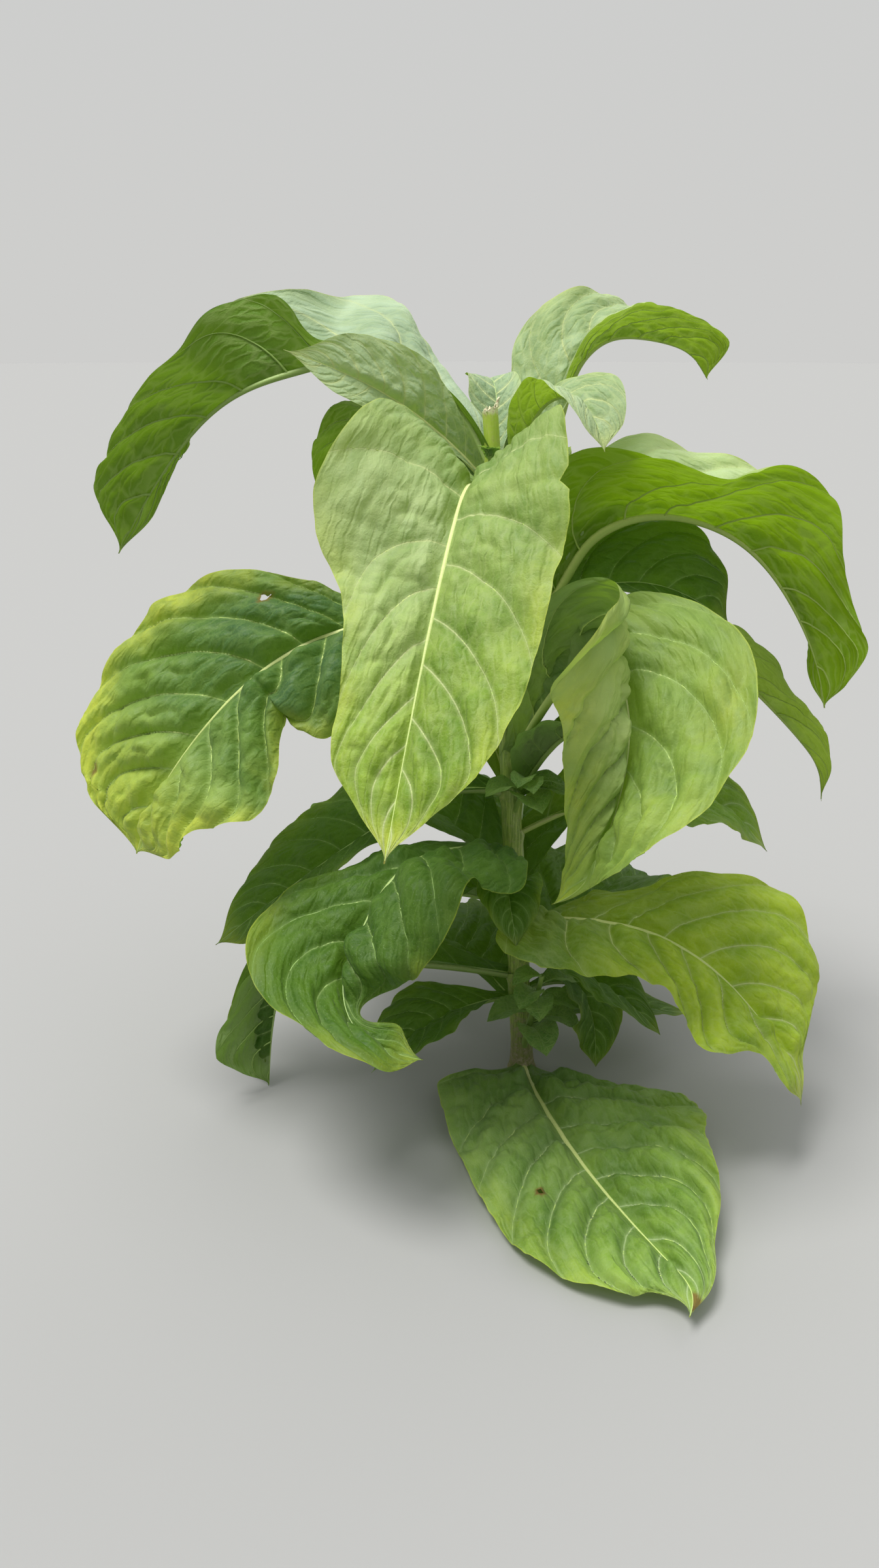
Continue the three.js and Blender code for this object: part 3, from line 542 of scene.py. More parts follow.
def marginHalf(leaf, look, s, side, seed):
    # Half widths with the small unevenness of a real margin, and its nicks
    half = halfWidths(leaf, s, side)
    run, lane = s * leaf["length"], side * 50.0 + 0 * s
    uneven = softNoise(run, lane, reliefSizes["edge"], seed)
    uneven = uneven + 0.5 * softNoise(run, lane, reliefSizes["fineEdge"], seed + 5)
    half = half * (1 + look["rough"] * uneven)
    for nickSide, place, depth, width in look["nicks"]:
        if nickSide == side:
            half = half * (1 - depth * np.maximum(0, 1 - np.abs(s - place) / width) ** 0.7)
    return half


def warpHoles(leaf, look, s, v, half, hand):
    # Draws the points inside each hole out to its ragged rim; returns which cells stay
    inside = np.zeros(s.shape, bool)
    rim = np.zeros(s.shape)
    for place, across, radius, lobes in look["holes"]:
        if across * hand < 0:
            continue
        width = np.interp(place, s[:, 0], half[:, 0])
        x = v * half - abs(across) * width
        y = (s - place) * leaf["length"]
        angle = np.arctan2(y, x)
        edge = radius * (1 + 0.25 * np.sin(lobes * angle + 1) + 0.1 * np.sin(7 * angle))
        reach = np.maximum(np.hypot(x, y), 1e-6)
        within = reach < edge
        drawn = np.where(within, edge / reach, 1)
        v = np.where(within, (x * drawn + abs(across) * width) / half, v)
        s = np.where(within, place + y * drawn / leaf["length"], s)
        inside |= within
        rim = np.maximum(rim, 1 - smooth(reach - edge, 0, 5))
    allInside = inside[:-1, :-1] & inside[1:, :-1] & inside[:-1, 1:] & inside[1:, 1:]
    return s, v, ~allInside, rim


def relief(leaf, look, s, v, half, index, seed):
    # Height over the smooth blade: cushions between the veins, crumpling and a frilled margin
    size = reliefSizes
    u = index - np.floor(index)
    bulge = (1 - (2 * u - 1) ** 2) ** 0.75
    x, y = v * half, s * leaf["length"]
    wide = smooth(half, 15, 90)
    fade = smooth(v, 0.0, 0.16) * (1 - 0.5 * v**4) * smooth(s, 0, 0.1)
    fade = fade * (1 - 0.8 * smooth(s, 0.9, 1)) * wide
    uneven = 0.8 + 0.5 * softNoise(x, y, size["patches"], seed)
    ladder = np.abs(softNoise(index * size["ladderStep"], x, size["ladders"], seed + 1)) ** 0.6
    lift = look["quilt"] * fade * bulge * (1.2 * uneven + 0.7 * ladder)
    puckers = np.abs(softNoise(x, y, size["puckers"], seed + 2)) ** 0.7
    puckers = puckers + 0.45 * np.abs(softNoise(x, y, size["finePuckers"], seed + 3)) ** 0.7
    puckers *= 1.7 - 0.7 * smooth(s, 0.15, 0.5)      # deeper near the base
    crumples = softNoise(x, y, size["crumples"], seed + 6)
    lift += look["crumple"] * fade * (1.6 * crumples + 1.9 * puckers)
    ends = np.sin(np.pi * np.clip(s, 0, 1)) ** 0.6
    turns = look["frillWaves"] * s + 0.6 * softNoise(y, y * 0, size["frillDrift"], seed + 4)
    lift += look["frill"] * np.sin(2 * np.pi * turns) * ends * v**4 * wide
    return lift * along(look["room"], s, 1)


def bladeFields(leaf, look, grid, widths, holeRim, side, hand, seed):
    # What the material reads: the place on the leaf, the nearest vein, a painted sky highlight, and marks
    # of yellow, dry and painted shade
    s, v, half, index = grid["s"], grid["v"], grid["half"], grid["index"]
    rows, columns, length = grid["rows"], grid["columns"], leaf["length"]
    x, y = v * half, s * length
    steepS = np.gradient(index, rows, axis=0) / length
    steepV = np.gradient(index, columns, axis=1) / half
    spacing = 1 / np.maximum(np.hypot(steepS, steepV), 1e-3)
    patches = 0.5 + 0.5 * softNoise(x, y, reliefSizes["markPatches"], seed + 40)
    patches = patches + 0.25 * softNoise(x, y, reliefSizes["finePatches"], seed + 41)
    tipwards = look["tipYellow"] * smooth(s, 1 - look["tipRun"], 1)
    rimwards = look["rimYellow"][side - 1] * smooth(v, look["rimFrom"], 1.0)
    rimwards = rimwards * smooth(s, 0.25, 0.6) * patches
    dry = look["tipDry"] * smooth(s, 0.985, 1) + 0.9 * holeRim
    for place, across, radius, strength in look["spots"]:
        if across * hand > 0:
            offX = x - abs(across) * np.interp(place, rows, widths)
            near = np.hypot(offX, (s - place) * length * 0.6)
            dry = np.maximum(dry, strength * (1 - smooth(near, 0.5 * radius, radius)) * (0.5 + patches))
    # Painted shade: darker and bluer by stations on each half, mostly near the stem, where the leaves shade
    # each other
    shade = along(look["shades"], s, side) * (0.7 + 0.5 * patches)
    # Painted highlight: whitish sky sheen by stations on each half, carried to the material in veinPlace
    pale = along(look["highlights"], s, side)
    return {
        "bladePlace": np.stack([s, v, np.minimum(spacing, 200) * mm], -1),
        "flatPlace": np.stack([hand * x * mm, y * mm, np.full(s.shape, seed * 0.37)], -1),
        "veinPlace": np.stack([index, np.clip(pale, 0, 1), np.full(s.shape, float(hand))], -1),
        "marks": np.clip(np.stack([tipwards + rimwards, dry, shade], -1), 0, 1),
    }


def growBlade(parts, leaf, look, frames, seed, slot):
    # Both halves of the thin leaf; returns their grids for the veins to lie on
    rng = np.random.default_rng(seed)
    halves = {}
    for side, hand in ((1, -1), (2, 1)):
        rows = np.linspace(0, 1, int(leaf["length"] / look["grain"]) + 2)
        veins = layVeins(leaf, look, side, rng)
        widths = marginHalf(leaf, look, rows, side, seed)
        columns = np.linspace(0, 1, max(7, int(widths.max() / look["grain"]) + 2))
        s, v = np.meshgrid(rows, columns, indexing="ij")
        edgeIndex = veinIndex(veins, s[:, -1:], v[:, -1:])[:, 0]
        between = edgeIndex - np.floor(edgeIndex)
        scallops = look["scallop"] * (4 * between * (1 - between) - 0.7)
        widths = widths * (1 + scallops * smooth(rows, 0.1, 0.3))
        half = np.repeat(widths[:, None], len(columns), 1)
        across = mapStrips["bladeMiddle"] + hand * mapStrips["bladeHalf"] * v
        uvs = np.stack([across, 0.01 + 0.98 * s], -1)
        s, v, keep, holeRim = warpHoles(leaf, look, s, v, half, hand)
        index = veinIndex(veins, s, v)
        points = bladePoints(leaf, frames, half, s, v, side)
        lift = relief(leaf, look, s, v, half, index, seed * 10 + side)
        points = points + gridNormals(points, hand) * lift[..., None]
        grid = {"s": s, "v": v, "half": half, "index": index, "rows": rows, "columns": columns}
        fields = bladeFields(leaf, look, grid, widths, holeRim, side, hand, seed)
        addGrid(parts, points, uvs, slot, fields, flip=hand > 0, keep=keep)
        halves[side] = {"points": points, "normals": gridNormals(points, hand), "rows": rows,
                        "columns": columns, "veins": veins, "half": widths}
    return halves


# The midrib and the side veins stand out under the blade and show as pale lines on it
rib = {
    "radius": 9.8, "tipRadius": 0.6, "thinning": 1.45, "widest": 6.2, "sink": 0.6, "sides": 8, "step": 6,
    "veinRadius": 1.3, "veinTip": 0.25, "veinSink": 1.3, "veinSides": 5, "veinPoints": 34,
    "veinReach": 0.93, "fullLength": 650, "fullWidth": 100, "ends": 0.985,
}


def lineFields(s, v, x, length):
    # What the rib's material reads; it has no marks but the side that faces up
    none = 0 * s
    return {
        "bladePlace": np.stack([s, v, none], -1), "flatPlace": np.stack([x, s * length * mm, none], -1),
        "veinPlace": np.zeros((len(s), 3)), "marks": np.zeros((len(s), 3)),
    }


def growMidrib(parts, leaf, frames, scale, slot):
    s = np.linspace(0, 0.995, int(leaf["length"] / rib["step"]) + 2)
    radii = rib["tipRadius"] + rib["radius"] * (1 - s) ** rib["thinning"]
    radii = np.minimum(scale * np.minimum(radii, rib["widest"]), 0.35 * halfWidths(leaf, s, 1) + 0.4)
    above = frameAt(frames, s, "up")
    path = frameAt(frames, s, "point") - (rib["sink"] * radii)[:, None] * above
    fields = lineFields(s, 0 * s, 0 * s, leaf["length"])
    box = (*mapStrips["midrib"], *mapStrips["along"])
    addTube(parts, path, radii, rib["sides"], box, slot, fields, above)


def growRibs(parts, leaf, frames, halves, slot):
    scale = (leaf["length"] / rib["fullLength"]) ** 0.8
    growMidrib(parts, leaf, frames, scale, slot)
    total = sum(len(half["veins"]["starts"]) for half in halves.values())
    made = 0
    for half in halves.values():
        rows, columns, veins = half["rows"], half["columns"], half["veins"]
        for start in veins["starts"]:
            v = np.linspace(0, rib["veinReach"], rib["veinPoints"])
            s = veinPath(veins, start, v)
            v, s = v[s < rib["ends"]], s[s < rib["ends"]]
            made += 1
            if len(s) < 4:
                continue
            row = np.interp(s, rows, np.arange(len(rows)))
            column = v * (len(columns) - 1)
            local = 0.35 + 0.65 * min(1, np.interp(start, rows, half["half"]) / rib["fullWidth"])
            radii = rib["veinTip"] + rib["veinRadius"] * (1 - v / rib["veinReach"]) ** 0.8
            radii = scale * local * radii
            normal = sampleGrid(half["normals"], row, column)
            path = sampleGrid(half["points"], row, column) - (rib["veinSink"] * radii)[:, None] * normal
            box = (*mapStrips["veins"], (made - 0.9) / total, (made - 0.1) / total)
            addTube(parts, path, radii, rib["veinSides"], box, slot,
                    lineFields(s, v, v * 0.1, leaf["length"]), normal)


# Linear colours of each tissue: deep and fresh green, a painted sky highlight, yellowing and the light
# through it
tissues = {
    "mid": {"deep": (0.11, 0.22, 0.012), "fresh": (0.30, 0.44, 0.035), "through": (0.38, 0.58, 0.01)},
    "front": {"deep": (0.13, 0.25, 0.015), "fresh": (0.36, 0.50, 0.060), "through": (0.38, 0.58, 0.01)},
    # A darker, bluer copy of the green: painted shade for the left leaf
    "full": {
        "deep": (0.060, 0.145, 0.012), "fresh": (0.21, 0.34, 0.018), "through": (0.26, 0.48, 0.01),
        "vein": (0.36, 0.50, 0.14), "hairsandhighlight": (0.46, 0.60, 0.24),
    },
    # A darker green with a brighter highlight colour: painted shade and painted light for the right leaf,
    # whose lobe faces away from the lamps
    "fold": {
        "deep": (0.075, 0.165, 0.016), "fresh": (0.25, 0.38, 0.030), "through": (0.34, 0.56, 0.015),
        "vein": (0.40, 0.54, 0.17), "hairsandhighlight": (0.64, 0.77, 0.31),
    },
    # A lighter copy of the green: painted light for the low right leaf, which the leaves above shade
    "bright": {"deep": (0.19, 0.33, 0.016), "fresh": (0.47, 0.61, 0.045), "through": (0.50, 0.70, 0.01)},
    # A darker copy of the green: painted shade for the leaves low down, inside and at the back
    "low": {
        "deep": (0.034, 0.092, 0.008), "fresh": (0.076, 0.152, 0.010), "through": (0.18, 0.38, 0.01),
        "vein": (0.24, 0.36, 0.10),
    },
    "ground": {
        "deep": (0.09, 0.20, 0.016), "fresh": (0.24, 0.40, 0.030), "through": (0.28, 0.48, 0.02),
        "vein": (0.42, 0.54, 0.24),
    },
    "arch": {
        "deep": (0.11, 0.23, 0.012), "fresh": (0.28, 0.42, 0.030), "through": (0.28, 0.48, 0.004),
        "back": (0.14, 0.25, 0.008), "share": 0.33, "hairsandhighlight": (0.62, 0.74, 0.46),
    },
    # Bluer greens and a blue-grey highlight colour: painted reflection of the grey sky on the top leaves
    "top": {
        "deep": (0.070, 0.150, 0.035), "fresh": (0.17, 0.29, 0.070), "through": (0.20, 0.36, 0.01),
        "hairsandhighlight": (0.58, 0.71, 0.53), "back": (0.13, 0.24, 0.014), "share": 0.26,
    },
    "young": {
        "deep": (0.10, 0.19, 0.040), "fresh": (0.24, 0.37, 0.085), "through": (0.32, 0.50, 0.02),
        "hairsandhighlight": (0.52, 0.64, 0.44), "back": (0.20, 0.32, 0.03), "net": 1.1,
    },
}
# The shade colour is painted shade; the hairs and highlight colour is pale hairs and a painted sky
# highlight
tissueDefaults = {
    "hairsandhighlight": (0.50, 0.60, 0.33), "yellow": (0.64, 0.68, 0.08), "dry": (0.20, 0.115, 0.035),
    "shade": (0.045, 0.105, 0.045), "vein": (0.60, 0.66, 0.30), "back": (0.30, 0.40, 0.16),
    "share": 0.34, "roughness": 0.53, "net": 0.6,
}

# The pattern drawn on a leaf: scales of its noises and nets, widths of its lines, shares of its colours
drawing = {
    "broad": 13.0, "small": 75.0, "speckle": 520.0, "wobble": 60.0,
    "ladderAcross": 1.9, "ladderAlong": 85.0, "mesh": 210.0,
    "core": (0.25, 1.0), "halo": (0.6, 4.5), "thinning": (1.25, 0.5), "barWidth": 0.16, "meshWidth": 0.22,
    "highlightShare": 0.75, "yellowShare": 0.8, "barShare": 0.22, "meshShare": 0.12, "haloShare": 0.28,
    "rimShare": 0.3, "speckleShare": 0.18, "backShare": 0.7, "underVeinShare": 0.5, "underBarShare": 0.3,
}


def put(tree, kind, inputs=None, **settings):
    # Adds a node; an input is either a value or another node's output
    made = tree.nodes.new(kind)
    for name, value in settings.items():
        setattr(made, name, value)
    for name, value in (inputs or {}).items():
        if isinstance(value, bpy.types.NodeSocket):
            tree.links.new(value, made.inputs[name])
        else:
            made.inputs[name].default_value = value
    return made


def calc(tree, operation, a, b=0.0, clamp=False):
    return put(tree, "ShaderNodeMath", {0: a, 1: b}, operation=operation, use_clamp=clamp).outputs[0]


def times(tree, a, b, clamp=False):
    return calc(tree, "MULTIPLY", a, b, clamp)


def plus(tree, a, b, clamp=False):
    return calc(tree, "ADD", a, b, clamp)


def ease(tree, value, low, high, start=0.0, end=1.0):
    inputs = {"Value": value, "From Min": low, "From Max": high, "To Min": start, "To Max": end}
    return put(tree, "ShaderNodeMapRange", inputs, interpolation_type="SMOOTHSTEP").outputs[0]


def blend(tree, factor, a, b):
    a = (*a, 1) if isinstance(a, tuple) else a
    b = (*b, 1) if isinstance(b, tuple) else b
    return put(tree, "ShaderNodeMix", {0: factor, 6: a, 7: b}, data_type="RGBA").outputs[2]


def layered(tree, colour, layers):
    # Lays colours over one another, each where its mask says
    for mask, above in layers:
        colour = blend(tree, mask, colour, above)
    return colour


def summed(tree, layers):
    # Adds up layers of relief, each a mask and its height in metres
    total = None
    for mask, height in layers:
        layer = times(tree, mask, height)
        total = layer if total is None else plus(tree, total, layer)
    return total


def noise(tree, vector, scale, detail=2.0, roughness=0.5, distortion=0.0):
    inputs = {"Vector": vector, "Scale": scale, "Detail": detail, "Roughness": roughness,
              "Distortion": distortion}
    return put(tree, "ShaderNodeTexNoise", inputs).outputs[0]


def cellEdges(tree, vector, scale):
    # Distance from the edges of a net of cells
    inputs = {"Vector": vector, "Scale": scale}
    return put(tree, "ShaderNodeTexVoronoi", inputs, feature="DISTANCE_TO_EDGE").outputs["Distance"]


def attribute(tree, name):
    return put(tree, "ShaderNodeAttribute", attribute_name=name).outputs["Vector"]


def objectPlace(tree):
    return put(tree, "ShaderNodeTexCoord").outputs["Object"]


def parted(tree, vector):
    return put(tree, "ShaderNodeSeparateXYZ", {0: vector}).outputs


def makeGroup(name, inputs, outputs):
    group = bpy.data.node_groups.new(name, "ShaderNodeTree")
    for label, kind, value in inputs:
        socket = group.interface.new_socket(label, in_out="INPUT", socket_type=kind)
        socket.default_value = value
    for label, kind in outputs:
        group.interface.new_socket(label, in_out="OUTPUT", socket_type=kind)
    return group, put(group, "NodeGroupInput").outputs, put(group, "NodeGroupOutput")


def makeLeafPattern():
    # The coloured pattern of a large leaf, drawn in the flat leaf: veins, nets, patches, marks of age,
    # painted shade and highlight
    colour, value = "NodeSocketColor", "NodeSocketFloat"
    group, given, result = makeGroup("leafPattern", [
        ("Deep", colour, (0.1, 0.2, 0.04, 1)), ("Fresh", colour, (0.2, 0.4, 0.07, 1)),
        ("HairsAndHighlight", colour, (0.5, 0.6, 0.3, 1)), ("Yellow", colour, (0.6, 0.6, 0.1, 1)),
        ("Dry", colour, (0.2, 0.12, 0.04, 1)), ("Shade", colour, (0.03, 0.08, 0.05, 1)),
        ("Vein", colour, (0.4, 0.5, 0.2, 1)), ("Back", colour, (0.3, 0.4, 0.2, 1)),
        ("Net", value, 0.5), ("Roughness", value, 0.45),
    ], [("Upper", colour), ("Under", colour), ("Roughness", value), ("Height", value)])
    place = parted(group, attribute(group, "bladePlace"))
    flat = attribute(group, "flatPlace")
    flatX = parted(group, flat)[0]
    line = parted(group, attribute(group, "veinPlace"))
    marks = parted(group, attribute(group, "marks"))

    # Distance to the nearest side vein, in mm, and the pale line along it
    within = calc(group, "FRACT", line[0])
    nearest = calc(group, "MINIMUM", within, calc(group, "SUBTRACT", 1.0, within))
    away = times(group, nearest, times(group, place[2], 1000.0))
    thinned = calc(group, "DIVIDE", away, ease(group, place[1], 0.0, 1.0, *drawing["thinning"]))
    core = ease(group, thinned, *drawing["core"], 1.0, 0.0)
    halo = ease(group, away, *drawing["halo"], 1.0, 0.0)
    strength = ease(group, place[1], 0.05, 1.0, 1.0, 0.6)

    # Nets of fine veins: ladders between the side veins, and a finer mesh
    wobble = noise(group, flat, drawing["wobble"], 2.0)
    ladder = put(group, "ShaderNodeCombineXYZ", {
        0: times(group, line[0], drawing["ladderAcross"]),
        1: plus(group, times(group, flatX, drawing["ladderAlong"]), wobble), 2: line[2]}).outputs[0]
    bars = cellEdges(group, ladder, 1.0)
    barLines = ease(group, bars, 0.0, drawing["barWidth"], 1.0, 0.0)
    meshLines = ease(group, cellEdges(group, flat, drawing["mesh"]), 0.0, drawing["meshWidth"], 1.0, 0.0)

    # Patches of deep and fresh green, fresher midway between the veins, and the layers over them, painted
    # shade and highlight among them
    broad = noise(group, flat, drawing["broad"], 3.0, 0.55, 0.4)
    small = noise(group, flat, drawing["small"], 3.0, 0.6)
    speckle = noise(group, flat, drawing["speckle"], 2.0, 0.6)
    middle = times(group, nearest, 2.0)
    mixed = plus(group, ease(group, broad, 0.3, 0.7, 0.0, 0.55), times(group, middle, 0.42))
    mixed = plus(group, mixed, ease(group, small, 0.3, 0.7, -0.12, 0.12), clamp=True)
    plainGreen = blend(group, mixed, given["Deep"], given["Fresh"])
    # Painted highlight of the sky, in broad patches where the highlight stations say
    highlightPatch = times(group, line[1], ease(group, broad, 0.25, 0.65, 0.5, 1.0))
    yellowing = times(group, marks[0], ease(group, small, 0.25, 0.6, 0.6, 1.1), clamp=True)
    dryness = times(group, marks[1], ease(group, small, 0.2, 0.5, 0.7, 1.2), clamp=True)
    hairs = ease(group, speckle, 0.62, 0.72)
    margin = ease(group, place[1], 0.985, 0.998)
    # The first layers are painted shade and the painted sky highlight; the hairs borrow the highlight
    # colour
    green = layered(group, plainGreen, [
        (marks[2], given["Shade"]),
        (times(group, highlightPatch, drawing["highlightShare"]), given["HairsAndHighlight"]),
        (times(group, yellowing, drawing["yellowShare"]), given["Yellow"]),
        (times(group, barLines, times(group, given["Net"], drawing["barShare"])), given["Vein"]),
        (times(group, meshLines, times(group, given["Net"], drawing["meshShare"])), given["Vein"]),
        (times(group, halo, times(group, strength, drawing["haloShare"])), given["Vein"]),
        (times(group, core, strength), given["Vein"]),
        (times(group, margin, drawing["rimShare"]), given["Yellow"]),
        (times(group, hairs, drawing["speckleShare"]), given["HairsAndHighlight"]),
        (dryness, given["Dry"]),
    ])
    under = layered(group, plainGreen, [
        (drawing["backShare"], given["Back"]),
        (times(group, core, drawing["underVeinShare"]), given["Vein"]),
        (times(group, barLines, times(group, given["Net"], drawing["underBarShare"])), given["Vein"]),
        (dryness, given["Dry"]),
    ])

    rough = plus(group, given["Roughness"], ease(group, small, 0.3, 0.7, -0.05, 0.07))
    rough = plus(group, rough, times(group, dryness, 0.3))
    height = summed(group, [
        (ease(group, bars, 0.0, 0.35), 0.0012), (meshLines, -0.00012), (core, -0.0002), (small, 0.0016),
        (speckle, 0.00012)])
    for label, output in (("Upper", green), ("Under", under), ("Roughness", rough), ("Height", height)):
        group.links.new(output, result.inputs[label])
    return group


def startMaterial(name):
    material = bpy.data.materials.new(name)
    material.use_nodes = True
    tree = material.node_tree
    tree.nodes.clear()
    return material, tree, put(tree, "ShaderNodeOutputMaterial").inputs["Surface"]


def bumped(tree, height, strength=0.9, distance=1.0):
    inputs = {"Strength": strength, "Distance": distance, "Height": height}
    return put(tree, "ShaderNodeBump", inputs).outputs[0]


def coverWithSkin(tree, surface, normal, inputs, through=None, share=0.0):
    # The skin's shader; a colour given for the light that comes through it mixes that in by its share
    shader = put(tree, "ShaderNodeBsdfPrincipled", {**inputs, "Normal": normal})
    if through:
        glow = put(tree, "ShaderNodeBsdfTranslucent", {"Color": (*through, 1), "Normal": normal})
        shader = put(tree, "ShaderNodeMixShader", {0: share, 1: shader.outputs[0], 2: glow.outputs[0]})
    tree.links.new(shader.outputs[0], surface)


def leafMaterial(name, tissue):
    look = {**tissueDefaults, **tissues[tissue]}
    material, tree, surface = startMaterial(name)
    pattern = put(tree, "ShaderNodeGroup", node_tree=leafPattern)
    for label in ("Deep", "Fresh", "HairsAndHighlight", "Yellow", "Dry", "Shade", "Vein", "Back"):
        pattern.inputs[label].default_value = (*look[label.lower()], 1)
    pattern.inputs["Roughness"].default_value = look["roughness"]
    pattern.inputs["Net"].default_value = look["net"]
    back = put(tree, "ShaderNodeNewGeometry").outputs["Backfacing"]
    coverWithSkin(tree, surface, bumped(tree, pattern.outputs["Height"]), {
        "Base Color": blend(tree, back, pattern.outputs["Upper"], pattern.outputs["Under"]),
        "Roughness": pattern.outputs["Roughness"], "Specular IOR Level": 0.22,
        "Sheen Weight": 0.05, "Sheen Roughness": 0.5}, look["through"], look["share"])
    return material


ribColours = {
    "pale": {"stemward": (0.64, 0.66, 0.28), "outward": (0.40, 0.54, 0.13), "below": (0.34, 0.46, 0.10)},
    "green": {"stemward": (0.44, 0.54, 0.20), "outward": (0.24, 0.38, 0.10), "below": (0.24, 0.36, 0.08)},
}


def ribMaterial(name, colours):
    # Cream at the stem, greener towards the tip, along the side veins and below
    material, tree, surface = startMaterial(name)
    place = parted(tree, attribute(tree, "bladePlace"))
    grain = noise(tree, attribute(tree, "flatPlace"), 240.0, 3.0, 0.6)
    farther = plus(tree, times(tree, place[0], 0.75), times(tree, place[1], 0.9))
    factor = plus(tree, farther, ease(tree, grain, 0.3, 0.7, -0.12, 0.12), clamp=True)
    above = parted(tree, attribute(tree, "marks"))[0]
    upper = blend(tree, factor, colours["stemward"], colours["outward"])
    coverWithSkin(tree, surface, bumped(tree, grain, 0.5, 0.001), {
        "Base Color": blend(tree, above, colours["below"], upper),
        "Roughness": 0.48, "Specular IOR Level": 0.4})
    return material


youngColours = {
    "deep": (0.10, 0.21, 0.05), "fresh": (0.24, 0.38, 0.10), "crease": (0.36, 0.48, 0.16),
    "through": (0.36, 0.58, 0.07), "share": 0.35,
}


def youngMaterial(name):
    # Small leaves of the side shoots: crinkled, without a drawn pattern
    material, tree, surface = startMaterial(name)
    where = objectPlace(tree)
    broad = noise(tree, where, 38.0, 3.0, 0.55)
    grooves = ease(tree, cellEdges(tree, where, 150.0), 0.0, 0.2)
    small = noise(tree, where, 260.0, 2.0, 0.6)
    green = blend(tree, ease(tree, broad, 0.3, 0.7), youngColours["deep"], youngColours["fresh"])
    green = blend(tree, ease(tree, grooves, 0.0, 1.0, 0.35, 0.0), green, youngColours["crease"])
    normal = bumped(tree, summed(tree, [(grooves, 0.0007), (small, 0.0004)]))
    coverWithSkin(tree, surface, normal, {
        "Base Color": green, "Roughness": ease(tree, small, 0.3, 0.7, 0.4, 0.55), "Sheen Weight": 0.15,
    }, youngColours["through"], youngColours["share"])
    return material


stemColours = {
    "deep": (0.19, 0.29, 0.045), "fresh": (0.42, 0.52, 0.12), "top": (0.46, 0.60, 0.06),
    "bark": (0.16, 0.115, 0.06), "barkPale": (0.36, 0.31, 0.19), "torn": (0.80, 0.76, 0.50),
    "tornDry": (0.34, 0.22, 0.11), "pith": (0.82, 0.78, 0.52), "pithDry": (0.36, 0.24, 0.13),
}


def stemMaterial(name):
    # Yellow-green skin with long fibres, corky and paler at the foot, cream where it is torn
    material, tree, surface = startMaterial(name)
    where = objectPlace(tree)
    height = parted(tree, where)[2]
    drawn = put(tree, "ShaderNodeMapping", {"Vector": where, "Scale": (1, 1, 0.06)}).outputs[0]
    strands = noise(tree, drawn, 420.0, 4.0, 0.65)
    cork = noise(tree, where, 160.0, 4.0, 0.65)
    cells = put(tree, "ShaderNodeTexVoronoi", {"Vector": drawn, "Scale": 210.0}).outputs["Distance"]
    green = blend(tree, ease(tree, strands, 0.35, 0.65), stemColours["deep"], stemColours["fresh"])
    green = blend(tree, ease(tree, height, 0.75, 1.0, 0.0, 0.8), green, stemColours["top"])
    foot = plus(tree, ease(tree, height, 0.0, 0.16, 1.0, 0.0), ease(tree, cork, 0.4, 0.65, -0.35, 0.25))
    foot = calc(tree, "SUBTRACT", foot, ease(tree, height, 0.25, 0.6, 0.0, 0.3), clamp=True)
    bark = blend(tree, ease(tree, cork, 0.35, 0.65), stemColours["bark"], stemColours["barkPale"])
    nearCut, flecks = ease(tree, height, 0.989, 0.998), ease(tree, cork, 0.35, 0.65, -0.5, 0.2)
    torn = plus(tree, nearCut, flecks, clamp=True)
    edge = blend(tree, ease(tree, cork, 0.5, 0.7), stemColours["torn"], stemColours["tornDry"])
    rise = summed(tree, [(strands, 0.0010), (cells, 0.00015), (times(tree, cork, foot), 0.002)])
    coverWithSkin(tree, surface, bumped(tree, rise, 0.8), {
        "Base Color": layered(tree, green, [(foot, bark), (torn, edge)]),
        "Roughness": ease(tree, foot, 0.0, 1.0, 0.45, 0.8)})
    return material


def pithMaterial(name):
    # The cut top: a pale, drying pith
    material, tree, surface = startMaterial(name)
    where = objectPlace(tree)
    coarse = noise(tree, where, 230.0, 4.0, 0.65)
    fine = noise(tree, where, 900.0, 2.0, 0.6)
    normal = bumped(tree, summed(tree, [(coarse, 0.003), (fine, 0.0006)]))
    colour = blend(tree, ease(tree, coarse, 0.32, 0.52), stemColours["pithDry"], stemColours["pith"])
    coverWithSkin(tree, surface, normal, {"Base Color": colour, "Roughness": 0.85})
    return material


leafPattern = makeLeafPattern()
leafSkins = {tissue: leafMaterial("leaf" + tissue.capitalize(), tissue) for tissue in tissues}
ribSkins = {
    "mid": ribMaterial("ribPale", ribColours["pale"]),
    "low": ribMaterial("ribGreen", ribColours["green"]),
}
youngSkin = youngMaterial("youngLeaf")
stemSkin = stemMaterial("stemSkin")
pithSkin = pithMaterial("cutPith")
print("materials made:", len(bpy.data.materials))

# What only shows here: the veins, the quilting between them, the marks of age and damage, and painted shade
# and highlight
lookDefaults = {
    "tissue": "mid", "grain": 3.2, "veins": 10,
    "slants": [[0, 0.3], [0.4, 0.3], [0.7, 0.6], [1, 0.9]],   # how far the veins lean towards the tip
    "bends": [[0, 0.4], [0.5, 0.6], [1, 0.4]],
    "quilt": 6.5, "crumple": 2.0, "frill": 2.2, "frillWaves": 9.5, "rough": 0.012, "scallop": 0.012,
    "tipYellow": 0.5, "tipRun": 0.12, "rimYellow": [0.3, 0.3], "rimFrom": 0.6,
    "shades": [[0, 0.5, 0.5], [0.3, 0.2, 0.2], [1, 0, 0]],    # painted shade, darker and bluer, on each half, mostly near the stem
    "highlights": [[0, 0, 0], [1, 0, 0]],                          # painted sky highlight, whitish, on each half
    "room": [[0, 1], [1, 1]],             # share of the relief, turned under where the halves nearly meet
    "tipDry": 0.4, "nicks": [], "holes": [], "spots": [],
}

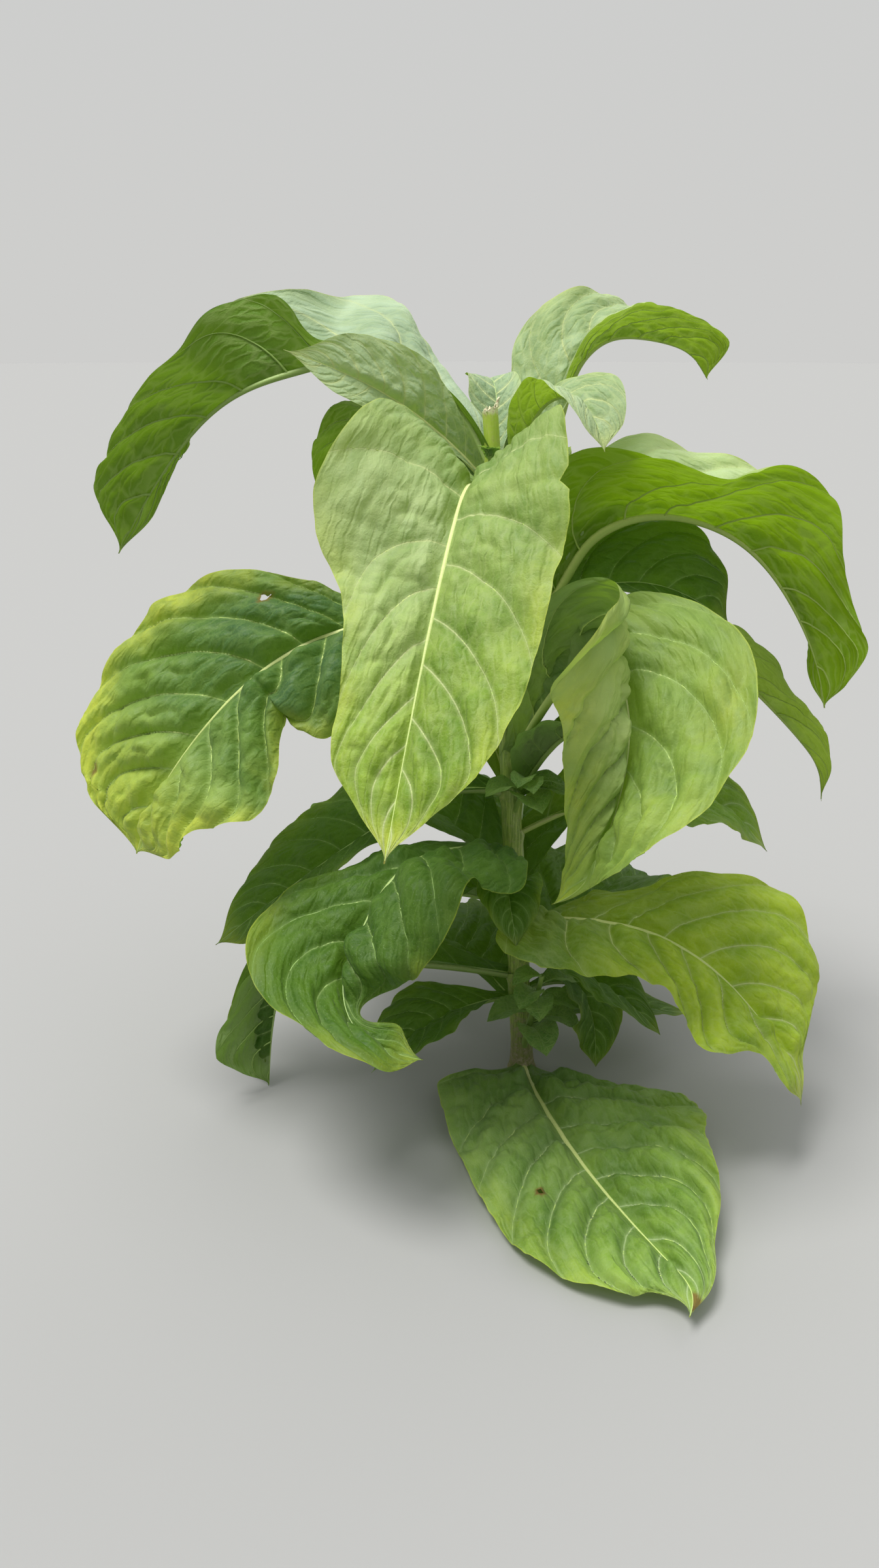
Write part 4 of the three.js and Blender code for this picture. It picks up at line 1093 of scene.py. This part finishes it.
leafLooks = {
    "leaf_front": {
        "tissue": "front", "quilt": 7.5, "crumple": 2.6,
        "slants": [[0, 0.1], [0.3, -0.05], [0.45, 0.15], [0.7, 0.7], [1, 1.0]],
        "bends": [[0, 0.1], [0.35, 0.25], [0.5, 0.6], [0.7, 0.45], [1, 0.3]],
        "tipYellow": 1.0, "tipRun": 0.1, "rimYellow": [0.5, 0.5], "tipDry": 0.6,
        "shades": [[0, 0.7, 0.7], [0.28, 0.45, 0.4], [0.42, 0.12, 0.2], [0.6, 0, 0.25], [0.8, 0, 0.25],
            [1, 0, 0]],
        "highlights": [[0, 0, 0], [0.25, 0.2, 0.15], [0.42, 0.9, 0.4], [0.65, 0.5, 0.1], [0.8, 0.1, 0],
            [1, 0, 0]],
        "nicks": [[2, 0.388, 0.08, 0.012]],
    },
    "leaf_arch_left": {
        "tissue": "top", "quilt": 7.0, "crumple": 1.8, "frillWaves": 13, "tipYellow": 0.2,
        "rimYellow": [0.1, 0.1],
        "room": [[0, 1], [0.3, 1], [0.4, -0.4], [0.62, -0.4], [0.72, 1], [1, 1]],
        "highlights": [[0, 0.9, 0.9], [0.38, 0.9, 0.9], [0.46, 0.8, 0.1], [0.7, 0.8, 0.1], [1, 0.8, 0.8]],
    },
    "leaf_young_left": {
        "tissue": "young", "grain": 2.4, "veins": 9, "quilt": 4.5, "crumple": 3.0,
        "highlights": [[0, 0.7, 0.7], [1, 0.9, 0.9]],
    },
    "leaf_arch_right": {
        "tissue": "arch", "crumple": 2.2, "frill": 3.0, "tipYellow": 0.8,
        "shades": [[0, 1, 0.8], [0.25, 0.6, 0.3], [0.4, 0, 0], [1, 0, 0]],
        "highlights": [[0, 0, 0], [0.3, 0.4, 0.9], [0.6, 0.4, 0.9], [1, 0, 0.2]],
    },
    "leaf_left": {
        "tissue": "full", "quilt": 13.0, "crumple": 3.0, "frill": 3.5,
        "shades": [[0, 1, 1], [0.5, 0.9, 0.85], [0.7, 0.55, 0.5], [0.85, 0.1, 0.1], [1, 0, 0]],
        "highlights": [[0, 0, 0], [0.6, 0, 0], [0.8, 0.3, 0.4], [1, 0.2, 0.2]],
        "tipYellow": 0.8, "tipRun": 0.3, "rimYellow": [1.5, 1.0], "tipDry": 0.2,
        "nicks": [[2, 0.555, 0.16, 0.013], [1, 0.93, 0.06, 0.01]],
        "holes": [[0.463, -0.64, 6, 3.5]], "spots": [[0.9, -0.75, 8, 0.7]],
    },
    # Yellowing runs across both halves from the midrib out, strongest on the lobe: partly yellowing, partly
    # painted light on the lobe, which faces away from the lamps
    "leaf_right": {
        "tissue": "fold", "quilt": 11.0, "crumple": 3.6, "tipYellow": 1.0, "tipRun": 0.08,
        "rimYellow": [0.75, 0.4], "rimFrom": -0.2, "tipDry": 0.5,
        "highlights": [[0, 0.2, 0], [0.4, 1, 0.25], [0.6, 1, 0.15], [0.8, 0.5, 0.2], [1, 0.2, 0.2]],
        "shades": [[0, 0.2, 0.7], [0.35, 0, 0.6], [0.6, 0, 0.45], [1, 0, 0.15]],
    },
    "leaf_low_right": {
        "tissue": "bright", "veins": 9, "quilt": 10.0, "crumple": 3.0, "frill": 3.0, "tipYellow": 0.9,
        "shades": [[0, 1, 1], [0.2, 0.8, 0.7], [0.4, 0.2, 0.4], [0.6, 0, 0.1], [1, 0, 0]],
    },
    "leaf_low_left": {"tissue": "low", "veins": 9, "quilt": 9.0, "crumple": 2.6, "frill": 2.6},
    "leaf_ground": {
        "tissue": "ground", "veins": 9, "quilt": 12.0, "crumple": 3.2, "frill": 2.0,
        "tipYellow": 0.4, "tipRun": 0.1, "tipDry": 0.3,
        "highlights": [[0, 0, 0], [0.3, 0.25, 0.15], [0.7, 0.1, 0.1], [1, 0.2, 0.2]],
        "holes": [[0.537, -0.54, 4.5, 5]], "spots": [[0.955, 0.1, 12, 1.0]],
    },
    "leaf_shade_right": {"tissue": "low", "veins": 9, "grain": 4, "quilt": 8},
    "leaf_foot_front": {"tissue": "low", "veins": 8, "grain": 3.4, "crumple": 2.6, "frill": 4.0},
    "leaf_young_back": {
        "tissue": "top", "veins": 9, "grain": 3.0, "quilt": 3.6, "crumple": 2.4,
        "highlights": [[0, 0.5, 0.5], [1, 0.6, 0.6]],
    },
    "leaf_young_right": {
        "tissue": "young", "veins": 9, "grain": 3.0, "quilt": 3.6, "crumple": 2.4,
        "highlights": [[0, 0.4, 0.4], [1, 0.9, 0.9]],
    },
    "leaf_arch_back": {
        "tissue": "young", "grain": 3.6, "quilt": 6, "crumple": 2.6,
        "highlights": [[0, 0.9, 0.9], [1, 0.9, 0.9]],
    },
}

# Leaves in the shade and on the far side are plainer: their tissue, number of veins and grain in mm
for names, tissue, veins, grain in (
        ("far_right", "mid", 11, 4), ("mid_right", "ground", 9, 4), ("far_left foot_left", "low", 10, 5),
        ("inner_right inner_left", "low", 9, 4), ("foot_dark foot_right inner_low", "low", 8, 4),
        ("inner_front", "low", 8, 3.4), ("back_1", "top", 10, 6),
        ("back_2 back_3 back_4 back_5", "mid", 10, 6), ("back_6 back_7 back_8 back_9", "low", 10, 6)):
    for name in names.split():
        leafLooks["leaf_" + name] = {"tissue": tissue, "veins": veins, "grain": grain}

triangles = 0
for number, (name, sizes) in enumerate(leaves.items()):
    leaf = {**leafDefaults, **sizes}
    look = {**lookDefaults, **leafLooks[name]}
    frames = midribFrames(leaf)
    parts = newParts()
    halves = growBlade(parts, leaf, look, frames, number + 1, 0)
    growRibs(parts, leaf, frames, halves, 1)
    ribSkin = ribSkins["low" if look["tissue"] in ("low", "top") else "mid"]
    piece = finishMesh(name + "_blade", parts, [leafSkins[look["tissue"]], ribSkin])
    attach(piece, "root")
    solids = [solid for solid in (name, name + "_tip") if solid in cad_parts]
    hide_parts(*solids)
    triangles += 2 * len(piece.data.polygons)
print("leaves grown:", len(leaves), "with", triangles, "triangles")

shoots = {
    "shoot_low": {
        "stem": 22, "heading": -76, "slope": 66, "length": 210, "radius": 6, "tipRadius": 3.5,
        "leaves": 8, "firstLeaf": 0.4, "spread": 84, "leafLength": 90, "leafHalfWidth": 32,
        "leafRise": 30,
    },
    "shoot_mid": {
        "stem": 428, "heading": -70, "slope": 56, "length": 96, "radius": 4.5, "tipRadius": 2.5,
        "leaves": 6, "firstLeaf": 0.5, "spread": 76, "leafLength": 84, "leafHalfWidth": 30,
        "leafRise": 36,
    },
    "shoot_top": {
        "stem": 912, "heading": -104, "slope": 46, "length": 42, "radius": 4, "tipRadius": 2.5,
        "leaves": 3, "firstLeaf": 0.7, "spread": 45, "leafLength": 38, "leafHalfWidth": 13,
        "leafRise": 70,
    },
    "leaf_stub": {
        "stem": 126, "heading": -105, "slope": 66, "length": 62, "radius": 6.5, "tipRadius": 5,
        "leaves": 0,
    },
}

# The leaves of the side shoots are small and crinkled, and all of one look
shootLook = {
    **lookDefaults, "grain": 3.0, "veins": 6, "quilt": 1.6, "crumple": 0.9, "frill": 1.2,
    "frillWaves": 6, "rough": 0.03, "tipYellow": 0, "rimYellow": [0, 0], "tipDry": 0,
    "shades": [[0, 0, 0], [1, 0, 0]],
}
shootStalk = {"points": 26, "sides": 14, "swell": 0.8, "swellings": 3, "endRise": 0.3, "endShare": 0.7}


def growStalk(parts, sizes, point, onward, slot):
    # The stalk of a shoot, with faint swellings; its end is closed
    t = np.linspace(0, 1, shootStalk["points"])
    radii = sizes["radius"] + (sizes["tipRadius"] - sizes["radius"]) * t
    swelling = np.maximum(0, np.sin(t * 2 * np.pi * shootStalk["swellings"])) ** 6
    radii = radii + shootStalk["swell"] * swelling
    path = point + onward * (t * sizes["length"])[:, None]
    rise = shootStalk["endRise"]
    path = np.concatenate([path, path[-1:] + rise * onward, path[-1:] + (rise + 0.1) * onward])
    radii = np.concatenate([radii, [shootStalk["endShare"] * sizes["tipRadius"], 0.02]])
    box = (*mapStrips["stalk"], *mapStrips["along"])
    addTube(parts, path, radii, shootStalk["sides"], box, slot, guide=(1, 0.2, 0))


def smallLeaf(sizes, point, onward, k):
    # Leaf number k of a shoot, as in the solids: they turn round the stalk and shrink towards its end
    count, rise = sizes["leaves"], sizes["leafRise"]
    climb = sizes["firstLeaf"] + (1 - sizes["firstLeaf"]) * k / max(count - 1, 1)
    shrink = 1 - rule["smallLeafShrink"] * k / count
    turn = sizes["heading"] + sizes["spread"] * math.sin(k * rule["goldenTurn"])
    return {
        **leafDefaults, "start": point + onward * (climb * sizes["length"] - sizes["tipRadius"]),
        "length": sizes["leafLength"] * shrink, "halfWidth": sizes["leafHalfWidth"] * shrink,
        "headings": [[0, turn], [1, turn]], "slopes": [[0, rise], [1, rise - rule["smallLeafDroop"]]],
        "ruffle": rule["smallLeafRuffle"],
    }


for number, (name, sizes) in enumerate(shoots.items()):
    point = np.array([stemCentre(sizes["stem"]), 0, sizes["stem"]])
    onward = direction(math.radians(sizes["heading"]), math.radians(sizes["slope"]))
    parts = newParts()
    growStalk(parts, sizes, point, onward, 1)
    count = sizes["leaves"]
    for k in range(count):
        leaf = smallLeaf(sizes, point, onward, k)
        frames = midribFrames(leaf)
        halves = growBlade(parts, leaf, shootLook, frames, 100 + 10 * number + k, 0)
        growRibs(parts, leaf, frames, halves, 1)
    piece = finishMesh(name + "_fine", parts, [youngSkin, ribSkins["low"] if count else stemSkin])
    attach(piece, "root")
    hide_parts(name)
print("side shoots grown:", len(shoots))


def growStem(parts):
    # Skin with long ribs, swollen where the leaves leave, over a flat foot and under a ragged cut
    rows, sides, height = stem["rings"] + 1, stem["sides"], stem["height"]
    z = height * np.linspace(0, 1, rows)[:, None]
    turn = np.linspace(0, 2 * np.pi, sides, endpoint=False)[None]
    ribs = np.cos(stem["ridges"] * turn + stem["ridgeTwist"] * z / stem["twistRun"])
    lumps = softNoise(turn * stem["lumpSpread"], z + 0 * turn, stem["lumpSize"], seed=3)
    radius = stemRadius(z) + stem["ridgeDepth"] * ribs + stem["lumps"] * lumps
    for sizes in leaves.values():
        facing = np.cos(turn - math.radians(sizes["headings"][0][1]))
        below, drop = sizes["stem"] - z, stem["nodeDrop"]
        swell = np.exp(-((below - drop) / stem["nodeHeight"]) ** 2) * np.maximum(0, facing) ** 2
        run = smooth(below, stem["wingStart"], drop) * (1 - smooth(below, drop, stem["wingRun"]))
        ridge = run * np.exp(-((1 - facing) / stem["wingWidth"] ** 2))
        radius = radius + stem["nodeSwell"] * swell + stem["wingHeight"] * ridge
    radius = radius * (1 - stem["narrowing"] * smooth(z, stem["narrowFrom"], height))
    flat = 0 * turn + 0 * z
    ragged = softNoise(turn * stem["raggedSpread"] + flat, flat, stem["raggedSize"], seed=11)
    x, y = radius * np.cos(turn), radius * np.sin(turn)
    slant = (stem["cutSlope"] * x + stem["raggedness"] * ragged) * smooth(z, stem["cutFrom"], height)
    points = np.stack([x + stemCentre(z), y, z + slant], -1)
    u = np.linspace(*mapStrips["stem"], sides + 1)[None]
    uvs = np.stack(np.broadcast_arrays(u, 0.01 + 0.98 * z / height), -1)
    addGrid(parts, points, uvs, 0, closed=True)
    share, sink = stem["pithShare"], stem["pithSink"]
    growCap(parts, points[0], (1, 0.6, 0.02), (0, 0, 0), 0, 0.2, flip=True)
    growCap(parts, points[-1], (1, 0.9, share, share * 0.85, 0.4, 0.2, 0.02),
            (0, 0.2, -0.6, -sink, -sink * 1.2, -sink, -sink * 0.8), 1, 0.6)


def growCap(parts, ring, shares, drops, slot, band, flip=False):
    # Rings from an edge in to its centre, rough where they face up; band is their place on the map
    centre = ring.mean(0)
    rings = np.stack([centre + (ring - centre) * share + np.array([0, 0, drop])
                      for share, drop in zip(shares, drops)])
    if not flip:
        inner = rings[2:-1]
        grain = softNoise(inner[..., 0], inner[..., 1], stem["pithGrain"], seed=21)
        inner[..., 2] += stem["pithRoughness"] * grain
    angle = np.linspace(0, 2 * np.pi, len(ring) + 1)
    share = np.array(shares)[:, None]
    uvs = np.stack([0.86 + 0.12 * share * np.cos(angle), band + 0.12 * share * np.sin(angle)], -1)
    addGrid(parts, rings, uvs, slot, closed=True, flip=flip)


# Strips of skin that the cut left, curling from its rim; one is long and broad
strips = {
    "count": 5, "points": 12, "sides": 6, "firstTurn": -1.9, "turnStep": 0.9, "turnSpread": 0.3,
    "length": 11, "shortShares": (0.3, 0.6), "curls": (0.4, 1.0), "width": 2.6, "shortWidth": 0.6,
    "long": 2, "longShare": 1.2, "longWidth": 0.9, "rootShare": 0.93, "rootSink": 2, "thinnest": 0.15,
}


def growStrips(parts):
    rng = np.random.default_rng(8)
    for k in range(strips["count"]):
        isLong = k == strips["long"]
        turn = strips["firstTurn"] + strips["turnStep"] * k
        turn = turn + rng.uniform(-strips["turnSpread"], strips["turnSpread"])
        t = np.linspace(0, 1, strips["points"])
        share = strips["longShare"] if isLong else rng.uniform(*strips["shortShares"])
        reach = strips["length"] * share
        curl = rng.uniform(*strips["curls"])
        out = stem["topRadius"] * strips["rootShare"] + reach * 0.5 * curl * t**2
        x, y = out * math.cos(turn), out * math.sin(turn)
        root = stem["height"] + stem["cutSlope"] * x[0] - strips["rootSink"]
        path = np.stack([x - stem["lean"], y, root + reach * np.sin(t * (1.2 + curl)) * 0.9], -1)
        width = strips["width"] * strips["longWidth" if isLong else "shortWidth"]
        radii = width * (1 - t) ** 0.5 + strips["thinnest"]
        box = (*mapStrips["torn"], 0.1 * k, 0.1 * k + 0.09)
        addTube(parts, path, radii, strips["sides"], box, 1, guide=(0.3, 1, 0.1))


parts = newParts()
growStem(parts)
growStrips(parts)
piece = finishMesh("stem_skin", parts, [stemSkin, pithSkin])
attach(piece, "root")
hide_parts("stem")
print("stem grown")

# Soft light of a bright grey day, with one broad lamp in front and one behind, over a plain pale floor
light = {
    "skyTop": (0.95, 0.98, 1.0), "skyLow": (1.0, 1.0, 0.98), "topStrength": 1.18, "lowStrength": 0.06,
    "seenStrength": 0.617,
    "key": {"toward": (-0.3, -0.17, 1.0), "spread": 24, "energy": 3.5},
    "back": {"toward": (0.35, 0.9, 0.8), "spread": 40, "energy": 0.5},
    "floorColour": (0.31, 0.306, 0.297), "floorRadius": 40,
}

camera = {
    "place": (-0.130, -1.630, 1.100),  # metres
    "downward": 20.8,                  # degrees below level
    "lens": 27.72, "sensor": 36,
}

floorMesh = bpy.data.meshes.new("floor")
turns = np.linspace(0, 2 * np.pi, 96, endpoint=False)
rim = [(light["floorRadius"] * math.cos(t), light["floorRadius"] * math.sin(t), 0) for t in turns]
floorMesh.from_pydata(rim, [], [list(range(len(rim)))])
floor = bpy.data.objects.new("floor", floorMesh)
bpy.context.scene.collection.objects.link(floor)
floorMaterial, tree, surface = startMaterial("floorPale")
plain = put(tree, "ShaderNodeBsdfPrincipled", {
    "Base Color": (*light["floorColour"], 1), "Roughness": 1.0, "Specular IOR Level": 0.0})
tree.links.new(plain.outputs[0], surface)
floorMesh.materials.append(floorMaterial)

world = bpy.data.worlds.new("greyDay")
bpy.context.scene.world = world
world.use_nodes = True
tree = world.node_tree
tree.nodes.clear()
upward = parted(tree, put(tree, "ShaderNodeTexCoord").outputs["Generated"])[2]
colour = blend(tree, ease(tree, upward, 0.0, 0.8), light["skyLow"], light["skyTop"])
strength = ease(tree, upward, -0.05, 0.9, light["lowStrength"], light["topStrength"])
seen = put(tree, "ShaderNodeLightPath").outputs["Is Camera Ray"]
strength = put(tree, "ShaderNodeMix", {0: seen, 2: strength, 3: light["seenStrength"]}).outputs[0]
sky = put(tree, "ShaderNodeBackground", {"Color": colour, "Strength": strength})
tree.links.new(sky.outputs[0], put(tree, "ShaderNodeOutputWorld").inputs["Surface"])

for name in ("key", "back"):
    lampLook = light[name]
    lamp = bpy.data.lights.new(name, "SUN")
    lamp.energy = lampLook["energy"]
    lamp.angle = math.radians(lampLook["spread"])
    lampObject = bpy.data.objects.new(name, lamp)
    lampObject.location = Vector(lampLook["toward"]) * 3
    lampObject.rotation_euler = Vector(lampLook["toward"]).to_track_quat("Z", "Y").to_euler()
    bpy.context.scene.collection.objects.link(lampObject)

lens = bpy.data.cameras.new("camera")
lens.lens = camera["lens"]
lens.sensor_width = camera["sensor"]
lens.clip_end = 200
viewer = bpy.data.objects.new("camera", lens)
viewer.location = camera["place"]
viewer.rotation_euler = (math.radians(90 - camera["downward"]), 0, 0)
bpy.context.scene.collection.objects.link(viewer)
bpy.context.scene.camera = viewer
bpy.context.scene.view_settings.view_transform = "Standard"
print("floor, light and camera set")
